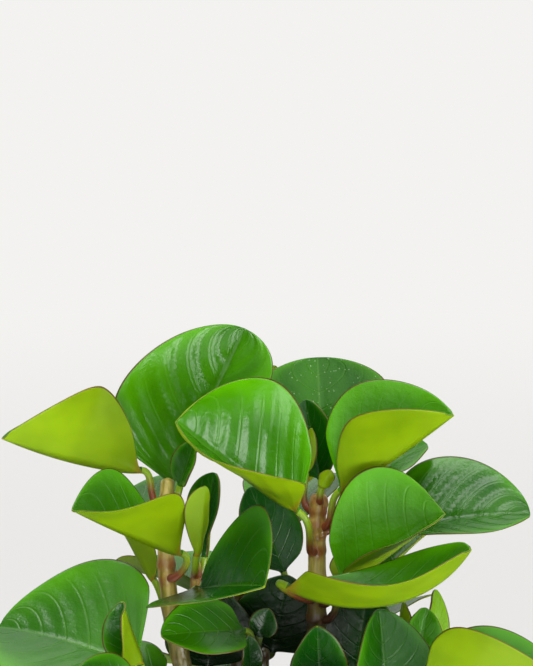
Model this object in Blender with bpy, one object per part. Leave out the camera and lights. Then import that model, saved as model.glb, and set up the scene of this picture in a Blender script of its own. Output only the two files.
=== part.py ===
"""Potted peperomia: a plain tapered pot with its soil, fleshy stems, and the leaves that grow on them.

Metres, +Z up, front towards -Y. The origin is the middle of the pot's flat base.
Each leaf is one solid: its petiole and its blade grow as one piece. A leaf is a closed skin swept along
the petiole and the midrib, so its blade can fold along the midrib, cup across it and bow along it.
The tables of stems and leaves are in millimetres.
"""

from collections import namedtuple
from math import log, pi

import bmesh
import bpy
import numpy as np

MM = 0.001
GAP = 0.3  # clear space that touching pieces keep

# Pot: a plain tapered pot with a flat base and softly rounded edges.
POT_HEIGHT = 105.0
POT_BASE_RADIUS = 44.0
POT_RIM_RADIUS = 60.0
POT_WALL = 4.0
POT_FLOOR = 6.0
POT_EDGE = 1.6  # rounding of the foot and the rim
POT_SIDES = 40

# Potting soil: fills the pot to just below the rim. The stems stand on it.
SOIL_TOP = 97.0

STEM_SIDES = 10
STEM_STEP = 9.0  # length of one stem ring
PETIOLE_RADIUS = 1.3
BLADE_THICKNESS = 1.3
TIP_WIDTH = 1.0
MOST_FOLD = 166.0  # both halves' folds together, so that the halves stay clear of each other
UNFOLDED_WIDTH = 5.0  # a half narrower than this, near the base and the tip, opens out

BLADE_STATIONS = (0.0, 0.1, 0.26, 0.44, 0.62, 0.79, 0.92, 1.0)
ACROSS = (-1.0, -0.55, 0.0, 0.55, 1.0)

# points: centre line from the soil up; radius: at the soil and at the top
Stem = namedtuple("Stem", "name points radius")

# stem, node: which stem the petiole leaves and how high; base, tip: ends of the blade;
# facing: where the top face looks at the midrib; left, right: width and fold of each half, seen
# from the base with the top face up; cup: extra curl across each half; bow: bend along the midrib;
# widest: share of the length at which the left and the right half are widest; point: below 1 makes
# the outline fuller, above 1 more pointed; flare: how much flatter the folds are at the tip
Leaf = namedtuple(
    "Leaf",
    "name stem node base tip facing left right cup bow widest point flare",
    defaults=((0.45, 0.45), 0.57, 0.45),
)

STEMS = (
    Stem("stem_left", ((-30, -4, 97), (-36, -6, 130), (-43, -8, 165), (-46, -6, 200), (-45, 2, 228)), (5.0, 3.2)),
    Stem("stem_left_side", ((-38.4, -13, 166), (-33, -17, 178), (-31, -20, 195)), (2.6, 1.8)),
    Stem("stem_right", ((20, -2, 97), (22, -4, 130), (23, -5, 170), (23, -5, 205), (24, -2, 222)), (5.2, 3.6)),
    Stem("stem_centre", ((-4, -16, 97), (-3, -20, 125), (-1, -24, 156)), (3.2, 2.4)),
    Stem("stem_front_left", ((-32, -18, 97), (-40, -28, 120), (-44, -40, 146)), (3.4, 2.4)),
    Stem("stem_front_right", ((34, -20, 97), (46, -22, 118), (56, -18, 138)), (3.6, 2.6)),
    Stem("stem_back", ((-12, 26, 97), (-13, 32, 140), (-10, 37, 180), (-2, 38, 218)), (4.6, 3.2)),
    Stem("stem_back_right", ((24, 24, 97), (34, 32, 125), (42, 38, 152)), (3.6, 2.6)),
)

LEAVES = (
    Leaf("leaf_left_outer", "stem_left", 216, (-57, 0, 232), (-117, -21, 251), (0.2, -0.15, 1.0),
         (38, 85), (22, 82), 5, -20, (0.5, 0.48), 0.7),
    Leaf("leaf_left_tall", "stem_left", 210, (-44, 10, 223), (-10, 22, 294), (0.2, -0.8, 0.5),
         (44, 22), (30, 52), 5, 10, (0.38, 0.74)),
    Leaf("leaf_left_cupped", "stem_left", 184, (-38, -22, 199), (-84, -44, 224), (0.0, -0.4, 1.0),
         (34, 80), (28, 45), 5, -8, (0.5, 0.7), 0.75, 0.75),
    Leaf("leaf_top_front", "stem_right", 196, (14, -22, 218), (-39, -40, 262), (0.54, -0.82, 0.18),
         (32, 70), (43, 6), 42, -30, (0.4, 0.58), 0.36, 0.68),
    Leaf("leaf_top_back", "stem_right", 207, (26, 22, 230), (24, 38, 278), (0.0, -0.9, 0.4),
         (32, 15), (34, 15), 10, 10, (0.6, 0.6)),
    Leaf("leaf_top_dark", "stem_right", 217, (25, 9, 226), (18, 14, 262), (-0.2, -0.9, 0.3),
         (14, 20), (14, 30), 10, 5),
    Leaf("leaf_top_sliver", "stem_right", 214, (18, 4, 230), (20.5, 1, 251), (0.5, 0.8, 0.2),
         (4, 20), (4, 20), 10, 0),
    Leaf("leaf_top_bud", "stem_right", 218, (25, -8, 226), (29, -10, 234), (0.3, 0.8, 0.4),
         (4, 30), (4, 30), 10, 0),
    Leaf("leaf_top_right", "stem_right", 207, (33, -12, 225), (81, -36, 264), (-0.25, -0.3, 0.9),
         (37, 55), (32, 72), 5, -5, (0.45, 0.6)),
    Leaf("leaf_right_shaded", "stem_right", 204, (42, 10, 222), (75, 24, 239), (0.0, -0.5, 0.9),
         (20, 20), (12, 20), 10, 10),
    Leaf("leaf_right_outer", "stem_right", 180, (56, 5, 202), (119, -10, 214), (-0.5, -0.45, 0.8),
         (35, 12), (27, 30), 5, 15, (0.4, 0.5)),
    Leaf("leaf_right_round", "stem_right", 172, (34, -22, 184), (78, -34, 220), (-0.4, -0.85, 0.3),
         (37, 22), (17, 88), 5, -10, (0.64, 0.54), 0.3),
    Leaf("leaf_right_boat", "stem_right", 174, (9, -33, 187), (86, -66, 212), (-0.3, -0.1, 0.93),
         (21, 42), (33, 44), 5, -84, (0.62, 0.3), 0.48, 0.6),
    Leaf("leaf_right_young", "stem_right", 164, (33, -13, 184), (36, -16, 199), (-0.3, 0.8, 0.4),
         (6, 20), (6, 20), 10, 0),
    Leaf("leaf_left_behind", "stem_left", 160, (-52, 8, 178), (-67, 20, 199), (0.2, 0.6, 0.7),
         (14, 10), (14, 10), 10, 0),
    Leaf("leaf_lower_left", "stem_front_left", 124, (-57, -43, 154), (-121, -16, 163), (0.1, -0.45, 0.9),
         (36, 5), (42, 28), 5, 20, (0.45, 0.36)),
    Leaf("leaf_left_young", "stem_left_side", 189, (-31, -30, 200), (-27, -33, 232), (-0.3, 0.8, 0.4),
         (6, 30), (8, 10), 10, 0, (0.5, 0.65)),
    Leaf("leaf_left_slim", "stem_left_side", 186, (-28, -14, 195), (-24, -5, 232), (-0.5, -0.6, 0.3),
         (12, 10), (13, 30), 10, 0, (0.65, 0.7)),
    Leaf("leaf_left_small", "stem_left", 216, (-39, -4, 226), (-32, -12, 248), (-0.4, -0.7, 0.3),
         (8, 20), (9, 30), 10, 0),
    Leaf("leaf_centre_open", "stem_left_side", 178, (-31, -27, 184), (-1, -66, 196), (0.15, -0.45, 0.85),
         (36, 60), (38, 6), 5, 5, (0.7, 0.4)),
    Leaf("leaf_centre_back", "stem_back", 165, (8, 16, 180), (-8, 26, 218), (0.3, -0.8, 0.5),
         (16, 15), (16, 15), 10, 5),
    Leaf("leaf_inner_centre", "stem_back", 136, (3, 21, 140), (10, 10, 180), (0.0, -0.9, 0.3),
         (24, 12), (22, 12), 10, 8),
    Leaf("leaf_inner_left", "stem_back", 126, (-28, 16, 134), (-26, 8, 176), (0.1, -0.9, 0.3),
         (22, 12), (22, 12), 10, 8),
    Leaf("leaf_inner_right", "stem_back_right", 124, (42, 20, 130), (47, 12, 172), (-0.1, -0.9, 0.3),
         (20, 12), (20, 12), 10, 8),
    Leaf("leaf_centre_low", "stem_centre", 146, (-10, -34, 167), (-45, -58, 172), (0.0, -0.6, 0.8),
         (17, 8), (16, 20), 10, 10),
    Leaf("leaf_centre_small", "stem_centre", 152, (-3, -29, 163), (1, -31, 176), (0.0, -0.8, 0.5),
         (7, 10), (7, 10), 10, 5),
    Leaf("leaf_centre_upright", "stem_centre", 138, (-7, -32, 146), (-8, -38, 166), (0.3, -0.8, 0.5),
         (6, 20), (6, 20), 10, 5),
    Leaf("leaf_centre_deep", "stem_right", 126, (24, -26, 135), (22, -44, 172), (0.0, -0.8, 0.5),
         (14, 15), (14, 15), 10, 5),
    Leaf("leaf_right_pointed", "stem_front_right", 120, (54, -30, 128), (50, -28, 175), (0.3, -0.8, 0.4),
         (26, 30), (26, 30), 10, 5, (0.3, 0.3)),
    Leaf("leaf_right_upright", "stem_front_right", 122, (66, -12, 138), (73, -2, 168), (0.3, -0.8, 0.4),
         (12, 30), (12, 30), 10, 5),
    Leaf("leaf_right_thin", "stem_front_right", 134, (76, 4, 140), (79, 14, 172), (0.6, -0.6, 0.4),
         (8, 20), (8, 20), 10, 5),
    Leaf("leaf_right_pale", "stem_back_right", 140, (60, 22, 138), (65, 20, 164), (0.9, 0.3, 0.3),
         (8, 20), (8, 20), 10, 5),
    Leaf("leaf_lower_right", "stem_front_right", 112, (67, -46, 142), (128, -64, 152), (-0.1, -0.2, 1.0),
         (29, 58), (37, 76), 5, -10),
    Leaf("leaf_front_young", "stem_front_left", 142, (-54, -60, 160), (-61, -68, 190), (-0.35, -0.85, 0.3),
         (13, 25), (11, 90), 10, 0),
    Leaf("leaf_front_cup", "stem_front_left", 132, (-58, -70, 146), (-77, -91, 168), (0.2, -0.6, 0.8),
         (17, 60), (15, 30), 10, 0),
    Leaf("leaf_back_tall", "stem_back", 208, (-2, 46, 226), (4, 58, 271), (-0.3, 0.6, 0.7),
         (17, 25), (19, 25), 5, 10),
    Leaf("leaf_back_left", "stem_left", 190, (-50, 16, 204), (-74, 56, 206), (-0.2, 0.2, 1.0),
         (26, 30), (26, 30), 5, 10),
    Leaf("leaf_back_right_top", "stem_back", 204, (18, 48, 216), (66, 72, 250), (0.2, 0.3, 0.9),
         (32, 30), (32, 30), 5, 10),
    Leaf("leaf_back_right", "stem_back_right", 144, (52, 46, 166), (86, 70, 190), (0.1, 0.2, 1.0),
         (26, 25), (26, 25), 5, 15),
    Leaf("leaf_back_centre", "stem_back", 182, (9, 52, 190), (20, 104, 204), (0.0, 0.2, 1.0),
         (28, 25), (28, 25), 5, 20),
    Leaf("leaf_back_low_left", "stem_back", 150, (-24, 38, 160), (-72, 66, 168), (0.0, 0.2, 1.0),
         (34, 20), (34, 20), 5, 20),
    Leaf("leaf_back_low_right", "stem_back_right", 134, (44, 52, 140), (74, 94, 144), (0.1, 0.2, 1.0),
         (30, 20), (30, 20), 5, 25),
    Leaf("leaf_back_low_centre", "stem_back", 134, (4, 42, 142), (-6, 102, 140), (0.0, 0.3, 1.0),
         (34, 20), (34, 20), 5, 25),
    Leaf("leaf_skirt_left", "stem_left", 118, (-50, 6, 124), (-106, 34, 122), (-0.1, 0.0, 1.0),
         (32, 15), (32, 15), 5, 25),
    Leaf("leaf_skirt_front_left", "stem_front_left", 112, (-52, -34, 120), (-90, -74, 112), (-0.1, -0.2, 1.0),
         (30, 15), (30, 15), 5, 25),
    Leaf("leaf_skirt_front", "stem_centre", 114, (-6, -34, 120), (-16, -90, 112), (0.0, -0.3, 1.0),
         (30, 15), (30, 15), 5, 25),
    Leaf("leaf_skirt_front_right", "stem_front_right", 106, (38, -42, 114), (60, -90, 110), (0.1, -0.3, 1.0),
         (30, 15), (28, 15), 5, 25),
    Leaf("leaf_skirt_right", "stem_right", 108, (46, 8, 112), (104, 20, 108), (0.1, 0.0, 1.0),
         (28, 15), (28, 15), 5, 25),
    Leaf("leaf_skirt_back_left", "stem_back", 116, (-20, 38, 122), (-62, 82, 114), (0.0, 0.2, 1.0),
         (30, 15), (30, 15), 5, 25),
)


def unit(vector):
    """Vector of length one along the given one."""
    return vector / np.linalg.norm(vector)


def smooth_path(points, step):
    """Evenly close points on a smooth curve through the given points, ends included."""
    knots = np.array(points, float)
    ends = np.vstack((2 * knots[0] - knots[1], knots, 2 * knots[-1] - knots[-2]))
    path = [knots[0]]
    for i in range(len(knots) - 1):
        before, start, stop, after = ends[i : i + 4]
        count = max(2, int(np.linalg.norm(stop - start) / step + 0.5))
        for k in range(1, count + 1):
            t = k / count
            path.append(
                0.5
                * (
                    2 * start
                    + (stop - before) * t
                    + (2 * before - 5 * start + 4 * stop - after) * t**2
                    + (3 * start - before - 3 * stop + after) * t**3
                )
            )
    return np.array(path)


def stem_axis(stem, height):
    """A stem's centre, direction and radius at a height."""
    path = smooth_path(stem.points, STEM_STEP)
    slopes = np.gradient(path, axis=0)
    point = np.array([np.interp(height, path[:, 2], path[:, k]) for k in range(3)])
    slope = np.array([np.interp(height, path[:, 2], slopes[:, k]) for k in range(3)])
    share = np.interp(height, path[:, 2], np.linspace(0.0, 1.0, len(path)))
    return point, unit(slope), np.interp(share, (0.0, 1.0), stem.radius)


def blade_place(leaf, t):
    """Place on the midrib at a share t of its length: point, direction, top normal, right side."""
    base, tip = np.array(leaf.base, float), np.array(leaf.tip, float)
    chord = np.linalg.norm(tip - base)
    ahead = unit(tip - base)
    up = np.array(leaf.facing, float)
    up = unit(up - ahead * (up @ ahead))
    bend = np.radians(leaf.bow) + 1e-6
    length = chord * (bend / 2) / np.sin(bend / 2)
    angle = bend / 2 - bend * t
    along = length / bend * (np.sin(bend / 2) - np.sin(angle))
    rise = length / bend * (np.cos(angle) - np.cos(bend / 2))
    direction = ahead * np.cos(angle) + up * np.sin(angle)
    normal = up * np.cos(angle) - ahead * np.sin(angle)
    return base + ahead * along + up * rise, direction, normal, np.cross(ahead, up)


def outline(leaf, t, widest):
    """Half width of the blade at a share t of its length, as a share of its widest."""
    return np.sin(pi * t ** (log(0.5) / log(widest))) ** leaf.point if 0 < t < 1 else 0.0


def across_blade(leaf, t, v):
    """Sideways and upward distance from the midrib to a place v, from -1 at the left margin to 1."""
    half, fold = leaf.right if v > 0 else leaf.left
    width = np.hypot(half * outline(leaf, t, leaf.widest[int(v > 0)]), TIP_WIDTH)
    opening = 1.2 - leaf.flare * t
    both = (leaf.left[1] + leaf.right[1]) * opening
    start = np.radians(fold) * opening * min(1.0, MOST_FOLD / both) * min(1.0, width / UNFOLDED_WIDTH)
    curl = np.radians(leaf.cup) + 1e-6
    end = start + curl * abs(v)
    side = width * (np.sin(end) - np.sin(start)) / curl
    rise = width * (np.cos(start) - np.cos(end)) / curl
    return np.sign(v) * side, rise, end


def midrib_lean(leaf, t):
    """Lean of the blade at the midrib, halfway between its two halves."""
    return (across_blade(leaf, t, 1e-6)[2] - across_blade(leaf, t, -1e-6)[2]) / 2


def blade_ring(leaf, t, across):
    """Closed ring of points round the blade: the top face left to right, then the underside back."""
    point, ahead, up, right = blade_place(leaf, t)
    turn = np.linspace(pi, -pi, 2 * len(across) - 1)[:-1]
    round_share = max(0.0, 1.0 - t / 0.14) ** 2
    keel = PETIOLE_RADIUS * 1.1 * (1.0 - t) ** 1.5
    ring = []
    rows = [(v, 1) for v in across] + [(v, -1) for v in across[-2:0:-1]]
    for (v, face), angle in zip(rows, turn):
        side, rise, lean = across_blade(leaf, t, v)
        half = BLADE_THICKNESS / 2 * (1.0 - 0.35 * abs(v) ** 3)
        depth = 0.0 if abs(v) == 1 else face * half
        if face < 0:
            depth -= keel * np.exp(-((v * leaf_width(leaf, t) / 2.5) ** 2))
        lean = np.sign(v) * lean if v else midrib_lean(leaf, t)
        flat = right * (side - depth * np.sin(lean)) + up * (rise + depth * np.cos(lean))
        full = right * (np.cos(angle) * PETIOLE_RADIUS) + up * (np.sin(angle) * PETIOLE_RADIUS)
        ring.append(point + flat * (1 - round_share) + full * round_share)
    return np.array(ring)


def leaf_width(leaf, t):
    """Mean half width of the blade at a share t of its length."""
    mean = (leaf.left[0] + leaf.right[0]) / 2
    return np.hypot(mean * outline(leaf, t, sum(leaf.widest) / 2), TIP_WIDTH)


def turned(vector, before, after):
    """The vector, turned the short way that takes the direction before to the direction after."""
    axis = np.cross(before, after)
    return vector + np.cross(axis, vector) + np.cross(axis, np.cross(axis, vector)) / (1 + before @ after)


def petiole_rings(leaf, stem, count, across):
    """Rings from just outside the stem to just before the blade."""
    axis, slope, radius = stem_axis(stem, leaf.node)
    end, ahead, up, right = blade_place(leaf, 0.0)
    out = end - axis
    out = unit(out - slope * (out @ slope))
    start = axis + out * (radius + 2 * GAP)
    reach = 0.4 * np.linalg.norm(end - start)
    knots = (start, start + out * reach, end - ahead * reach, end)
    turn = np.linspace(pi, -pi, 2 * len(across) - 1)[:-1]
    rings = []
    for t in np.arange(count)[::-1] / count:
        weights = ((1 - t) ** 3, 3 * t * (1 - t) ** 2, 3 * t**2 * (1 - t), t**3)
        slopes = ((1 - t) ** 2, 2 * t * (1 - t), t**2)
        point = sum(w * p for w, p in zip(weights, knots))
        heading = unit(sum(w * (knots[i + 1] - knots[i]) for i, w in enumerate(slopes)))
        right, up, ahead = turned(right, ahead, heading), turned(up, ahead, heading), heading
        rings.append(
            np.array([point + PETIOLE_RADIUS * (right * np.cos(a) + up * np.sin(a)) for a in turn])
        )
    return rings[::-1]


def leaf_rings(leaf, stem, stations=BLADE_STATIONS, across=ACROSS, petiole=3):
    """All rings of one leaf, from the stem to the tip."""
    return petiole_rings(leaf, stem, petiole, across) + [blade_ring(leaf, t, across) for t in stations]


def pot_radius(height):
    """Outer radius of the pot's wall at a height."""
    return np.interp(height, (0.0, POT_HEIGHT), (POT_BASE_RADIUS, POT_RIM_RADIUS))


def circle(radius, height, sides):
    """Ring of points round the pot's axis."""
    turn = np.linspace(0.0, 2 * pi, sides, endpoint=False)
    return np.array([(radius * np.cos(a), radius * np.sin(a), height) for a in turn])


def pot_rings():
    """The pot's profile: flat foot, outer wall, rounded rim, inner wall and floor."""
    rim = pot_radius(POT_HEIGHT)
    profile = (
        (POT_BASE_RADIUS - POT_EDGE, 0.0),
        (POT_BASE_RADIUS, POT_EDGE),
        (rim, POT_HEIGHT - POT_EDGE),
        (rim - POT_EDGE * 0.4, POT_HEIGHT - POT_EDGE * 0.3),
        (rim - POT_WALL / 2, POT_HEIGHT),
        (rim - POT_WALL + POT_EDGE * 0.4, POT_HEIGHT - POT_EDGE * 0.3),
        (rim - POT_WALL, POT_HEIGHT - POT_EDGE),
        (pot_radius(POT_FLOOR) - POT_WALL, POT_FLOOR),
    )
    return [circle(radius, height, POT_SIDES) for radius, height in profile]


def soil_rings():
    """The soil, clear of the pot and of the stems that stand on it."""
    low = POT_FLOOR + GAP
    high = SOIL_TOP - GAP
    side = POT_WALL + 2 * GAP
    profile = ((pot_radius(low) - side, low), (pot_radius(high) - side, high))
    return [circle(radius, height, POT_SIDES) for radius, height in profile]


def stem_rings(stem):
    """Rings up a stem, level where it meets the soil and drawn in to a blunt top."""
    path = smooth_path(stem.points, STEM_STEP)
    radii = np.interp(np.linspace(0.0, 1.0, len(path)), (0.0, 1.0), stem.radius)
    slopes = np.gradient(path, axis=0)
    turn = np.linspace(0.0, 2 * pi, STEM_SIDES, endpoint=False)
    rings = []
    for k, (point, radius, slope) in enumerate(zip(path, radii, slopes)):
        lean = min(1.0, k / 2)
        heading = unit(unit(slope) * lean + np.array([0.0, 0.0, 1.0 - lean]))
        right = unit(np.cross(np.array([0.0, 1.0, 0.0]), heading))
        front = np.cross(heading, right)
        rings.append(np.array([point + radius * (right * np.cos(a) + front * np.sin(a)) for a in turn]))
    top = path[-1] + unit(slopes[-1]) * radii[-1] * 0.6
    rings.append(top + (rings[-1] - path[-1]) * 0.55)
    return rings


def material(name, colour, roughness):
    """Principled material with a plain colour."""
    made = bpy.data.materials.new(name)
    made.use_nodes = True
    shader = made.node_tree.nodes["Principled BSDF"]
    shader.inputs["Base Color"].default_value = (*colour, 1.0)
    shader.inputs["Roughness"].default_value = roughness
    return made


def skin(name, rings, finish):
    """One closed object: a skin over rings of equal count, with a flat face at each end."""
    mesh = bmesh.new()
    loops = [[mesh.verts.new(point * MM) for point in ring] for ring in rings]
    for low, high in zip(loops, loops[1:]):
        for k in range(len(low)):
            mesh.faces.new((low[k - 1], low[k], high[k], high[k - 1]))
    mesh.faces.new(loops[0])
    mesh.faces.new(loops[-1])
    bmesh.ops.recalc_face_normals(mesh, faces=mesh.faces)
    data = bpy.data.meshes.new(name)
    mesh.to_mesh(data)
    mesh.free()
    data.shade_smooth()
    data.set_sharp_from_angle(angle=np.radians(50.0))
    data.materials.append(finish)
    made = bpy.data.objects.new(name, data)
    bpy.context.collection.objects.link(made)
    return made


def main():
    """Clears the scene and builds the potted plant."""
    for old in list(bpy.data.objects):
        bpy.data.objects.remove(old)
    stems = {stem.name: stem for stem in STEMS}
    skin("pot", pot_rings(), material("pot_ceramic", (0.80, 0.78, 0.74), 0.5))
    skin("potting_soil", soil_rings(), material("potting_soil", (0.05, 0.03, 0.02), 0.95))
    for stem in STEMS:
        skin(stem.name, stem_rings(stem), material(stem.name, (0.26, 0.14, 0.04), 0.45))
    for leaf in LEAVES:
        skin(leaf.name, leaf_rings(leaf, stems[leaf.stem]), material(leaf.name, (0.05, 0.22, 0.01), 0.3))


if __name__ == "__main__":
    main()
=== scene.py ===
"""Finished potted peperomia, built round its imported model.

The plant's stems and leaves follow the same routes and sizes as the solids of the model, at a finer
step: each leaf is one closed skin swept along its petiole and midrib, folded, cupped and bowed, with
a quilted face and a thin dark rim. Fields, tables and finishes are in millimetres and degrees, unless a
comment says otherwise; meshes and the studio are in metres.
"""

from __future__ import annotations

import logging
import math
from dataclasses import dataclass
from enum import Enum

import bmesh
import bpy
import numpy as np
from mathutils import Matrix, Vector


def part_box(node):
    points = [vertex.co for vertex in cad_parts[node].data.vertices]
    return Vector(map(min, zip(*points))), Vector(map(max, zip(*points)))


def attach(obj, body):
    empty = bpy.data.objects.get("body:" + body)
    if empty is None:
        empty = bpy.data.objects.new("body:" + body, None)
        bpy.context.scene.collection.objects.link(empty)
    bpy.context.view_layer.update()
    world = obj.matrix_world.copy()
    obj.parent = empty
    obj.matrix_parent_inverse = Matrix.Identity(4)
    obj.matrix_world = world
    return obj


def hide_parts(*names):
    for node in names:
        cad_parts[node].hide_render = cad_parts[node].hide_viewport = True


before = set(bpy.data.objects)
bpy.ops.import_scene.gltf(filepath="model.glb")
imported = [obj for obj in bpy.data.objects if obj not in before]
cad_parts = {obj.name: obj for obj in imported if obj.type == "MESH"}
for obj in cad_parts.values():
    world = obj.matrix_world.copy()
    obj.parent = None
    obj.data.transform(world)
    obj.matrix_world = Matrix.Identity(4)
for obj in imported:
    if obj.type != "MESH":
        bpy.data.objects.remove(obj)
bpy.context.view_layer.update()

MM = 0.001
TINY = 1e-6  # keeps a straight midrib and a flat blade from dividing by zero
BODY = "root"
VEIN_CURVE = 1.3  # above 1, a side vein leaves the midrib square and bends on its way out
VEIN_EDGE = (0.41, 0.5)  # a line starts and is full so far from the middle between two veins
VEIN_FADE = (0.55, 0.95)  # shares of the half blade over which the veins fade out
RIM_EDGE = (0.7, 1.3)  # a rim starts to fade and is gone so many of its widths from the margin
SPECK_PICK = (0.5, 0.62)  # levels of a noise that leaves specks out in patches
log = logging.getLogger("peperomia")


# ---------------------------------------------------------------- small tools


def linear(code: str) -> tuple[float, float, float, float]:
    """Turns an sRGB hex colour into linear RGBA.

    Args:
        code: Colour such as "#2f7a1e".

    Returns:
        The linear colour with full alpha.
    """
    parts = [int(code[i : i + 2], 16) / 255 for i in (1, 3, 5)]
    return (*(c / 12.92 if c <= 0.04045 else ((c + 0.055) / 1.055) ** 2.4 for c in parts), 1.0)


def unit(vector: np.ndarray) -> np.ndarray:
    """Returns the vector of length one along the given one."""
    return vector / np.linalg.norm(vector)


def turned(vector: np.ndarray, before: np.ndarray, after: np.ndarray) -> np.ndarray:
    """Turns a vector the short way that takes one direction to another.

    Args:
        vector: The vector to turn.
        before: Direction of length one at the start.
        after: Direction of length one at the end.

    Returns:
        The turned vector.
    """
    axis = np.cross(before, after)
    return vector + np.cross(axis, vector) + np.cross(axis, np.cross(axis, vector)) / (1 + before @ after)


def smooth_path(points: tuple, step: float) -> np.ndarray:
    """Lays evenly close points on a smooth curve through a route.

    Args:
        points: The route's own points.
        step: Wanted distance between points, in the route's unit.

    Returns:
        The points as rows, both ends included.
    """
    knots = np.array(points, float)
    ends = np.vstack((2 * knots[0] - knots[1], knots, 2 * knots[-1] - knots[-2]))
    path = [knots[0]]
    for i in range(len(knots) - 1):
        before, start, stop, after = ends[i : i + 4]
        count = max(2, int(np.linalg.norm(stop - start) / step + 0.5))
        for k in range(1, count + 1):
            t = k / count
            bend = (2 * before - 5 * start + 4 * stop - after) * t**2
            twist = (3 * start - before - 3 * stop + after) * t**3
            path.append(0.5 * (2 * start + (stop - before) * t + bend + twist))
    return np.array(path)


def add_node(
    tree: bpy.types.NodeTree,
    kind: str,
    settings: dict | None = None,
    values: dict | None = None,
    links: dict | None = None,
) -> bpy.types.Node:
    """Adds a node with its settings, socket values and incoming links.

    Args:
        tree: Node tree that gets the node.
        kind: Blender's name of the node type.
        settings: Properties of the node.
        values: Default values by input name or number.
        links: Output sockets by the input name or number they feed.

    Returns:
        The new node.
    """
    node = tree.nodes.new(kind)
    for name, value in (settings or {}).items():
        setattr(node, name, value)
    for name, value in (values or {}).items():
        node.inputs[name].default_value = value
    for name, socket in (links or {}).items():
        tree.links.new(socket, node.inputs[name])
    return node


class Maths:
    """Writes a formula as Math nodes in one tree."""

    def __init__(self, tree: bpy.types.NodeTree) -> None:
        """Keeps the tree that gets the nodes."""
        self.tree = tree

    def run(self, operation: str, *terms: float | bpy.types.NodeSocket) -> bpy.types.NodeSocket:
        """Adds one Math node.

        Args:
            operation: Name of the Math node's operation.
            terms: Numbers or sockets, in the node's order.

        Returns:
            The node's output.
        """
        values = {i: term for i, term in enumerate(terms) if isinstance(term, (int, float))}
        links = {i: term for i, term in enumerate(terms) if i not in values}
        node = add_node(self.tree, "ShaderNodeMath", {"operation": operation}, values, links)
        return node.outputs[0]

    def ramp(self, value: bpy.types.NodeSocket, low: float, high: float) -> bpy.types.NodeSocket:
        """Returns a smooth 0 to 1 step of a value between two levels."""
        settings = {"interpolation_type": "SMOOTHSTEP"}
        levels = {"From Min": low, "From Max": high}
        node = add_node(self.tree, "ShaderNodeMapRange", settings, levels, {"Value": value})
        return node.outputs["Result"]

    def fall(self, value: bpy.types.NodeSocket, low: float, high: float) -> bpy.types.NodeSocket:
        """Returns a smooth 1 to 0 step of a value between two levels."""
        return self.run("SUBTRACT", 1.0, self.ramp(value, low, high))

    def length(self, vector: bpy.types.NodeSocket) -> bpy.types.NodeSocket:
        """Returns the length of a vector."""
        settings = {"operation": "LENGTH"}
        return add_node(self.tree, "ShaderNodeVectorMath", settings, None, {0: vector}).outputs["Value"]

    def mix(self, factor: object, first: object, second: object) -> bpy.types.NodeSocket:
        """Mixes two colours.

        Args:
            factor: Number or socket; 0 gives the first colour.
            first: Linear colour or socket.
            second: Linear colour or socket.

        Returns:
            The mixed colour.
        """
        terms = {0: factor, 6: first, 7: second}
        values = {i: t for i, t in terms.items() if isinstance(t, (int, float, tuple))}
        links = {i: t for i, t in terms.items() if i not in values}
        node = add_node(self.tree, "ShaderNodeMix", {"data_type": "RGBA"}, values, links)
        return node.outputs[2]


class Surface:
    """A material being written: its tree, its shader, and the coordinates its patterns read."""

    def __init__(self, name: str, values: dict) -> None:
        """Starts a Principled material.

        Args:
            name: The material's name.
            values: Socket values that are the same all over the surface.
        """
        self.material = bpy.data.materials.new(name)
        self.material.use_nodes = True
        self.tree = self.material.node_tree
        self.shader = self.tree.nodes["Principled BSDF"]
        for socket, value in values.items():
            self.shader.inputs[socket].default_value = value
        self.maths = Maths(self.tree)
        self.place = add_node(self.tree, "ShaderNodeTexCoord").outputs["Object"]

    def noise(self, size: float, detail: float = 2.0, stretch: tuple = (1, 1, 1)) -> bpy.types.NodeSocket:
        """Returns noise whose patches are about `size` mm wide, longer along an axis below 1."""
        scaled = add_node(
            self.tree, "ShaderNodeMapping", None, {"Scale": stretch}, {"Vector": self.place}
        ).outputs[0]
        values = {"Scale": 1 / (size * MM), "Detail": detail}
        return add_node(self.tree, "ShaderNodeTexNoise", None, values, {"Vector": scaled}).outputs[0]

    def attribute(self, name: str) -> bpy.types.Node:
        """Returns a node that reads a mesh attribute."""
        return add_node(self.tree, "ShaderNodeAttribute", {"attribute_name": name})

    def bump(self, height: bpy.types.NodeSocket, depth: float, strength: float = 1.0) -> None:
        """Feeds a height pattern to the shader's normal, `depth` mm deep."""
        values = {"Strength": strength, "Distance": depth * MM}
        node = add_node(self.tree, "ShaderNodeBump", None, values, {"Height": height})
        self.tree.links.new(node.outputs[0], self.shader.inputs["Normal"])

    def feed(self, socket: str, source: bpy.types.NodeSocket) -> None:
        """Links a pattern to one of the shader's inputs."""
        self.tree.links.new(source, self.shader.inputs[socket])


# ---------------------------------------------------------------- finishes


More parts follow.
